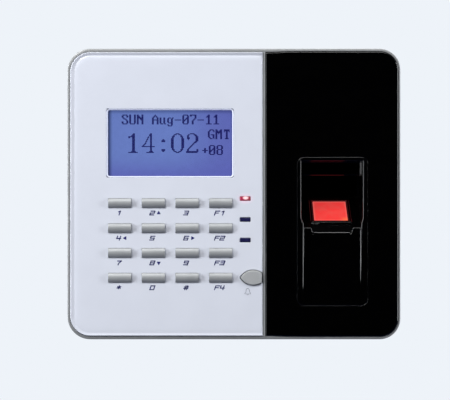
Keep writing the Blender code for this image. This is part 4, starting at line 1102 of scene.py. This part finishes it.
def arrow_into(form, x, z, turn):
    """A small solid triangle that points along its turn in the panel's plane."""
    corners = []
    for corner in range(3):
        angle = turn + corner * 2 * pi / 3
        corners.append((x + ARROW_SIZE * cos(angle), z + ARROW_SIZE * sin(angle)))
    solid(form, [at_depth(corners, FACE + LEGEND_BUILD), at_depth(corners, FACE - LEGEND_BUILD)])


def legends():
    """Generic figures and arrows printed under the keys."""
    form = bmesh.new()
    pitch = LEGEND_WIDTH + 0.00075
    for node, text in KEY_LEGENDS.items():
        x, z = span(*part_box(node))[:2]
        x, z = x + LEGEND_SHIFT, z - LEGEND_DROP
        left = x - (LEGEND_WIDTH + pitch * (len(text) - 1)) / 2
        for place, letter in enumerate(text):
            figure_into(form, letter, left + place * pitch, z - LEGEND_HEIGHT / 2)
        if node in KEY_ARROWS:
            arrow_into(form, x - LEGEND_SHIFT + ARROW_SHIFT, z, KEY_ARROWS[node])
    formed("key_legends", form, navy_print)


SIGN_PLACE = (0.0043, -0.0041)
SIGN_FOOT = ((0.00150, 0.0), (0.00145, 0.00030), (0.00095, 0.0009))
SIGN_DOME = (0.00085, 0.0011, 0.0016)
SIGN_CLAPPER = (0.0004, -0.0001)


def bell_sign():
    """Thin printed line drawing of a bell under the bell key: dome, flared foot, clapper."""
    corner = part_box("bell_key")[0]
    middle_x, foot_z = corner.x + SIGN_PLACE[0], corner.z + SIGN_PLACE[1]
    half_width, height, base = SIGN_DOME
    dome = list(SIGN_FOOT)
    steps = 8
    for step in range(steps + 1):
        angle = pi / 2 * step / steps
        dome.append((half_width * cos(angle), base + height * sin(angle)))
    dome += [(-x, z) for x, z in reversed(dome)] + [dome[0]]
    radius, top = SIGN_CLAPPER
    clapper = [(radius * cos(-pi * step / steps), top + radius * sin(-pi * step / steps))
               for step in range(steps + 1)]
    form = bmesh.new()
    for line in (dome, clapper):
        spots = [(middle_x + x, foot_z + z) for x, z in line]
        for start, end in zip(spots, spots[1:]):
            if (Vector(end) - Vector(start)).length > 1e-6:
                stroke_into(form, start, end, SIGN_STROKE)
    formed("bell_sign", form, grey_print)


# -------------------------------------------------------------------------- finger well

UPPER_HALF = 0.01572
UPPER_RIGHT = 0.01532
LOWER_HALF = 0.0145
WELL_TOP = 0.0167
WELL_SHELF = (-0.0275, 0.0166, 0.0096)
WELL_DEEP = -0.0142
JOG_TOP = -0.0123
JOG_BOTTOM = -0.0147
LEDGE_Y = -0.0370
RAMP_TOP = -0.0182
RAMP_END = -0.0500
NOSE_FRONT = -0.0372
NOSE_LIP = -0.0199
NOSE_SHOULDER = -0.0173
FRAME_HALF = 0.0104


def floor_z(y):
    """Height of the leaning floor of the well at a depth."""
    return PLATEN_MIDDLE.z + (y - PLATEN_MIDDLE.y) * tan(PLATEN_LEAN)


def symmetric_plan(right_half):
    """A closed (x, z) outline about the well's middle from the points of its right half."""
    left_half = [(-x, z) for x, z in reversed(right_half)]
    return [(WELL_X + x, z) for x, z in left_half + right_half]


def well_cutters(front, rear):
    """The upper well, the ramp, the notch for the nose and the sensor's own opening."""
    shelf_y, shelf_top, shelf_bottom = WELL_SHELF
    upper = (
        (front - BEYOND, WELL_TOP + 0.0001), (front, WELL_TOP), (shelf_y, shelf_top),
        (shelf_y, shelf_bottom), (WELL_DEEP, shelf_bottom + 0.0005),
        (WELL_DEEP, floor_z(WELL_DEEP)), (LEDGE_Y, floor_z(LEDGE_Y)),
        (front - BEYOND, floor_z(LEDGE_Y)),
    )
    plan = [(-LOWER_HALF, RAMP_TOP - BEYOND), (-LOWER_HALF, JOG_BOTTOM), (-UPPER_HALF, JOG_TOP),
            (-UPPER_HALF, WELL_TOP + BEYOND), (UPPER_RIGHT, WELL_TOP + BEYOND),
            (UPPER_RIGHT, JOG_TOP), (LOWER_HALF, JOG_BOTTOM), (LOWER_HALF, RAMP_TOP - BEYOND)]
    plan = [(WELL_X + x, z) for x, z in plan]
    cavity = bar("cavity", upper, WELL_X - UPPER_HALF - BEYOND, WELL_X + UPPER_HALF + BEYOND)
    combined(cavity, [prism("plan", plan, front - 2 * BEYOND, rear + BEYOND)], "INTERSECT")
    lower = (
        (front - BEYOND, floor_z(LEDGE_Y) + 0.0010), (LEDGE_Y, floor_z(LEDGE_Y) + 0.0001),
        (LEDGE_Y + 0.0004, RAMP_TOP), (front, RAMP_END), (front - BEYOND, RAMP_END - 0.0001),
    )
    ramp = bar("ramp", lower, WELL_X - LOWER_HALF, WELL_X + LOWER_HALF)
    notch_profile = (
        (front - BEYOND, -0.0125), (-0.0300, -0.0125), (-0.0300, -0.0165), (-0.0349, NOSE_LIP),
        (front - BEYOND, NOSE_LIP),
    )
    notch = bar("notch", notch_profile, WELL_X - FRAME_HALF, WELL_X + FRAME_HALF)
    combined(notch, [prism("nose_plan", nose_plan(0.0001), -0.050, -0.025)], "INTERSECT")
    form = bmesh.new()
    block_into(form, (-0.0106, -0.0110, -0.0300), (0.0106, 0.0110, 0.0040))
    mesh = mesh_from(form, "sensor_opening")
    mesh.transform(platen_matrix())
    return [cavity, ramp, notch, linked("sensor_opening", mesh)]


def nose_plan(grow=0.0):
    """Outline of the nose from the front: straight sides and slanted lower corners."""
    return symmetric_plan([(FRAME_HALF + grow, -0.0100), (FRAME_HALF + grow, NOSE_SHOULDER),
                           (FRAME_HALF - 0.0012 + grow, NOSE_LIP - grow)])


def insert_outline(front, rear):
    """The insert's outer form: softer front edges at its ends than along its sides."""
    side_round, end_round, depth_round = 0.00008, 0.00040, 0.00032
    rings = [(0.0, 0.0, rear + BEYOND)]
    steps = 5
    for step in range(steps + 1):
        turn = pi / 2 * step / steps
        rings.append((side_round * (1 - cos(turn)), end_round * (1 - cos(turn)),
                      front + depth_round * (1 - sin(turn)) - 2e-6))
    form = bmesh.new()
    bands = []
    for side, end, y in rings:
        points = outline(BEZEL_LOW.x + side, BEZEL_HIGH.x - side, BEZEL_LOW.z + end,
                         BEZEL_HIGH.z - end, (0.0035,) * 4, 10)
        bands.append(at_depth(points, y))
    solid(form, bands)
    return blank("insert_outline", form)


def well_insert():
    """Black insert: deep upper well, leaning floor, ledge and a long shallow ramp."""
    front, rear = BEZEL_LOW.y, BEZEL_HIGH.y
    form = bmesh.new()
    margin = Vector((0.003, 0.0, 0.003))
    block_into(form, BEZEL_LOW - margin, BEZEL_HIGH + margin)
    obj = blank("insert", form)
    combined(obj, well_cutters(front, rear))
    soft_edges(obj, 0.00060, 5, 20)
    baked(obj)
    combined(obj, [insert_outline(front, rear)], "INTERSECT")
    insert = piece("well_insert", taken_mesh(obj), black_gloss, stands_for=("fingerprint_bezel",),
                   slot="black_gloss")
    soft_edges(insert, 0.00004, 2, 50)


def platen_matrix():
    return Matrix.Translation(PLATEN_MIDDLE) @ Matrix.Rotation(PLATEN_LEAN, 4, "X")


def sensor_frame():
    """Case round the glass, which runs out into a nose over the ledge."""
    half_length = 0.01075
    form = bmesh.new()
    block_into(form, (-FRAME_HALF, -half_length, -0.0140), (FRAME_HALF, half_length, 0.0003))
    mesh = mesh_from(form, "sensor_frame")
    mesh.transform(platen_matrix())
    obj = linked("sensor_frame", mesh)
    nose_profile = ((-0.0320, -0.01365), (NOSE_FRONT, NOSE_LIP + 0.0003), (NOSE_FRONT, NOSE_LIP),
                    (-0.0352, NOSE_LIP), (-0.0312, -0.0160))
    nose = bar("nose", nose_profile, WELL_X - FRAME_HALF, WELL_X + FRAME_HALF)
    combined(nose, [prism("nose_plan", nose_plan(), -0.045, -0.025)], "INTERSECT")
    combined(obj, [nose], "UNION")
    soft_edges(obj, 0.00045, 5, 20)
    baked(obj)
    form = bmesh.new()
    gap = 0.00012
    block_into(form, (-PLATEN_WIDTH / 2 - gap, -PLATEN_LENGTH / 2 - gap, -0.0063),
               (PLATEN_WIDTH / 2 + gap, PLATEN_LENGTH / 2 + gap, BEYOND))
    seat = mesh_from(form, "glass_seat")
    seat.transform(platen_matrix())
    combined(obj, [linked("glass_seat", seat)])
    frame_piece = piece("sensor_frame", taken_mesh(obj), sensor_case,
                        stands_for=("sensor_housing",), slot="black_matte")
    soft_edges(frame_piece, 0.00005, 2, 50)


def sensor_glass():
    """Glass wedge, lit red, with a ground bevel round its face."""
    form = bmesh.new()
    rings = []
    for inset, height in ((0.0016, -0.0060), (0.0, -0.0030), (0.0, -0.00022), (0.0002, 0.0),
                          (0.0012, 0.00001)):
        points = even_outline(PLATEN_WIDTH / 2 - inset, PLATEN_LENGTH / 2 - inset, 0.0004, steps=3)
        rings.append([Vector((x, y, height)) for x, y in points])
    solid(form, rings)
    mesh = mesh_from(form, "platen")
    obj = linked("platen", mesh)
    mesh.materials.append(finish(platen_glass))
    obj.matrix_world = platen_matrix()
    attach(obj, "terminal")
    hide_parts("sensor_prism")


# ------------------------------------------------------------------------- back of case


SLOT_REACH = 0.0011
SLOT_HALF_THICKNESS = 0.00021
SLOT_TAPER = 0.45


def slot_cutter(name, middle, outward, depth, turn):
    """Cutter for one arm of a cross recess, from outside the screw head inwards."""
    form = bmesh.new()
    for vert in block_into(form, (-SLOT_REACH, -SLOT_HALF_THICKNESS, -depth),
                           (SLOT_REACH, SLOT_HALF_THICKNESS, 0.001)):
        if vert.co.z < 0:
            vert.co.x *= SLOT_TAPER
    mesh = mesh_from(form, name)
    stand = Vector(outward).to_track_quat("Z", "Y").to_matrix().to_4x4()
    mesh.transform(Matrix.Translation(middle) @ stand @ Matrix.Rotation(turn, 4, "Z"))
    return linked(name, mesh)


def screw(node, outward, depth, body="terminal"):
    """A CAD screw with a cross recess in its head."""
    low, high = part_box(node)
    middle = (low + high) / 2
    outward = Vector(outward)
    for axis in range(3):
        if outward[axis]:
            middle[axis] = high[axis] if outward[axis] > 0 else low[axis]
    obj = welded_copy(node, node + "_blank")
    arms = [slot_cutter(f"{node}_arm_{turn:.0f}", middle, outward, depth, turn)
            for turn in (0.0, pi / 2)]
    combined(obj, arms)
    made = piece(node + "_turned", taken_mesh(obj), screw_steel, body, (node,), "screw_steel")
    soft_edges(made, 0.00012, 2, 30)


def screws():
    for number in (1, 2, 3, 4):
        screw(f"case_screw_{number}", (0, 1, 0), 0.0012)
    for number in (1, 2, 3):
        screw(f"board_screw_{number}", (0, -1, 0), 0.0010)
    screw("lock_screw", (0, 0, -1), 0.0012, "wall_mount")


def fine_copy(node, name, recipe, width, body="terminal"):
    """A CAD node's own shape as a visible piece, with finer edges."""
    made = piece(name, taken_mesh(welded_copy(node, name)), recipe, body, (node,),
                 recipe.__name__)
    soft_edges(made, width, 2, 30)
    made.modifiers["Edges"].use_clamp_overlap = True


def network_contacts():
    """Eight sprung gold wires in the network jack, and the gold bars in the USB socket."""
    low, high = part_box("ethernet_jack")
    middle_x, mouth = (low.x + high.x) / 2, high.y
    form = bmesh.new()
    for index in range(8):
        x = middle_x + (index - 3.5) * 0.00102
        path = ((mouth - 0.0012, low.z + 0.0024), (mouth - 0.0050, low.z + 0.0046),
                (mouth - 0.0100, low.z + 0.0060))
        for (y0, z0), (y1, z1) in zip(path, path[1:]):
            verts = block_into(form, (x - 0.0002, y1, z0 - 0.00012), (x + 0.0002, y0, z0 + 0.00012))
            for vert in verts:
                vert.co.z += (z1 - z0) * (y0 - vert.co.y) / (y0 - y1)
    low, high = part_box("usb_socket")
    middle_x, middle_z = span(low, high)[:2]
    for index in range(4):
        x = middle_x + (index - 1.5) * 0.0024
        block_into(form, (x - 0.0006, high.y - 0.0085, middle_z - 0.00012),
                   (x + 0.0006, high.y - 0.0014, middle_z + 0.00012))
    formed("socket_contacts", form, contact_gold)


def inner_finishes():
    """Finishes for the nodes that keep their CAD mesh."""
    plain = {
        "front_chassis": (black_matte, 0.0002),
        "lcd_frame": (black_matte, 0.0002),
        "lcd_backlight": (diffuser, 0.0001),
        "lcd_board": (board_green, 0.0001),
        "lcd_ribbon": (ribbon, 0.00003),
        "keypad_mat": (silicone, 0.0002),
        "keypad_board": (board_green, 0.0001),
        "sensor_lens": (black_matte, 0.0002),
        "sensor_camera_board": (board_green, 0.0001),
        "sensor_light_board": (board_green, 0.0001),
        "sensor_cable": (black_matte, 0.00005),
        "main_board": (board_green, 0.0001),
        "ethernet_jack": (socket_metal, 0.00015),
        "usb_socket": (socket_metal, 0.00012),
        "power_jack": (black_matte, 0.00015),
        "terminal_block": (terminal_green, 0.00018),
        "coin_cell_holder": (black_matte, 0.0002),
        "coin_cell": (socket_metal, 0.0003),
        "speaker": (black_matte, 0.0002),
        "tamper_plunger": (diffuser, 0.0001),
        "tamper_switch": (black_matte, 0.0002),
    }
    for node, (recipe, width) in plain.items():
        obj = frame["nodes"][node]
        obj.material_slots[0].material = finish(recipe)
        soft_edges(obj, width, 2, 40, weld=True)


def back_of_case():
    fine_copy("rear_shell", "case_back", shell_grey, 0.00030)
    fine_copy("wall_plate", "mounting_plate", wall_steel, 0.00025, "wall_mount")
    screws()
    network_contacts()
    inner_finishes()


# ---------------------------------------------------------------------- stage and light

BACKGROUND = linear(238, 243, 249)
FLOOR_RADIUS = 0.33
FLOOR_Z = -0.16
CAMERA_PLACE = (-0.0045, -0.7185, -0.0030)
CAMERA_LENS = 108
TARGET = Vector((0.0, -0.03, 0.0))


def camera():
    data = bpy.data.cameras.new("camera")
    data.lens = CAMERA_LENS
    data.sensor_width = 36
    obj = linked("camera", data)
    obj.location = CAMERA_PLACE
    obj.rotation_euler = (pi / 2, 0.0, 0.0)
    bpy.context.scene.camera = obj


SKY_BANDS = (
    # height of the direction from -1 to 1, and the light's linear colour there
    (-1.0, (0.012, 0.020, 0.100)),
    (-0.2, (0.020, 0.032, 0.110)),
    (0.25, (0.080, 0.088, 0.115)),
    (0.65, (0.120, 0.125, 0.135)),
    (0.85, (0.016, 0.016, 0.018)),
)
FRONT_EDGE = (-0.92, -0.45)
REAR_EDGE = (0.25, 0.60)
REAR_COLOUR = (0.40, 0.41, 0.43)


def world():
    """Even pale backdrop for the eye, and for all else soft light with darkness beside the
    camera and overhead, and a paler wall behind the object.
    """
    data = bpy.data.worlds.new("studio")
    bpy.context.scene.world = data
    data.use_nodes = True
    tree = data.node_tree
    tree.nodes.clear()

    def add(kind, *inputs):
        node = tree.nodes.new("ShaderNode" + kind)
        for socket, value in zip(node.inputs, inputs):
            plug(tree, socket, value)
        return node

    direction = add("SeparateXYZ", add("TexCoord").outputs["Generated"])
    share = add("MapRange", direction.outputs["Z"], -1.0, 1.0, 0.0, 1.0)
    bands = add("ValToRGB", share.outputs["Result"])
    ramp = bands.color_ramp
    for index, (height, colour) in enumerate(SKY_BANDS):
        place = (height + 1) / 2
        stop = ramp.elements[0] if index == 0 else ramp.elements.new(place)
        stop.position = place
        stop.color = (*colour, 1.0)
    ramp.elements.remove(ramp.elements[-1])
    rear = add("MapRange", direction.outputs["Y"], *REAR_EDGE, 0.0, 1.0)
    colour = add("MixRGB", rear.outputs["Result"], bands.outputs["Color"], (*REAR_COLOUR, 1.0))
    front = add("MapRange", direction.outputs["Y"], *FRONT_EDGE, 0.0, 1.0)
    soft = add("Background", colour.outputs["Color"], front.outputs["Result"])
    even = add("Background", (*BACKGROUND, 1.0))
    mix = add("MixShader", add("LightPath").outputs["Is Camera Ray"], soft.outputs[0],
              even.outputs[0])
    tree.links.new(mix.outputs[0], add("OutputWorld").inputs["Surface"])


def softbox(name, place, width, height, watts, colour=(1, 1, 1)):
    data = bpy.data.lights.new(name, "AREA")
    data.shape = "RECTANGLE"
    data.size = width
    data.size_y = height
    data.energy = watts
    data.color = colour
    obj = linked(name, data)
    obj.location = place
    obj.rotation_euler = (TARGET - Vector(place)).to_track_quat("-Z", "Y").to_euler()


def lights():
    softbox("key_light", (-0.75, -1.00, 1.00), 0.6, 0.45, 14.5, (1.0, 0.985, 0.965))
    softbox("top_light", (0.05, -0.75, 1.15), 1.2, 0.15, 7.0, (1.0, 1.0, 1.0))
    softbox("left_light", (-1.05, -0.45, 0.15), 0.25, 0.9, 11, (0.94, 0.97, 1.0))
    softbox("right_light", (1.15, -0.32, 0.15), 0.22, 0.9, 10, (0.96, 0.98, 1.0))
    softbox("back_light", (0.60, 1.10, 0.80), 1.0, 0.8, 5, (1.0, 1.0, 1.0))


def floor():
    form = bmesh.new()
    bmesh.ops.create_circle(form, cap_ends=True, radius=FLOOR_RADIUS, segments=96)
    mesh = mesh_from(form, "floor")
    mesh.materials.append(finish(floor_paper))
    obj = linked("floor", mesh)
    obj.location = (0.0, 0.0, FLOOR_Z)
    obj.visible_diffuse = False
    obj.visible_glossy = False


def stage():
    bpy.context.scene.view_settings.view_transform = "Standard"
    camera()
    world()
    lights()
    floor()


def terminal():
    silver_ring()
    white_panel()
    black_panel()
    divider()
    display()
    display_window()
    keys()
    bell_button()
    light_windows()
    legends()
    bell_sign()
    well_insert()
    sensor_frame()
    sensor_glass()
    back_of_case()


stage()
terminal()
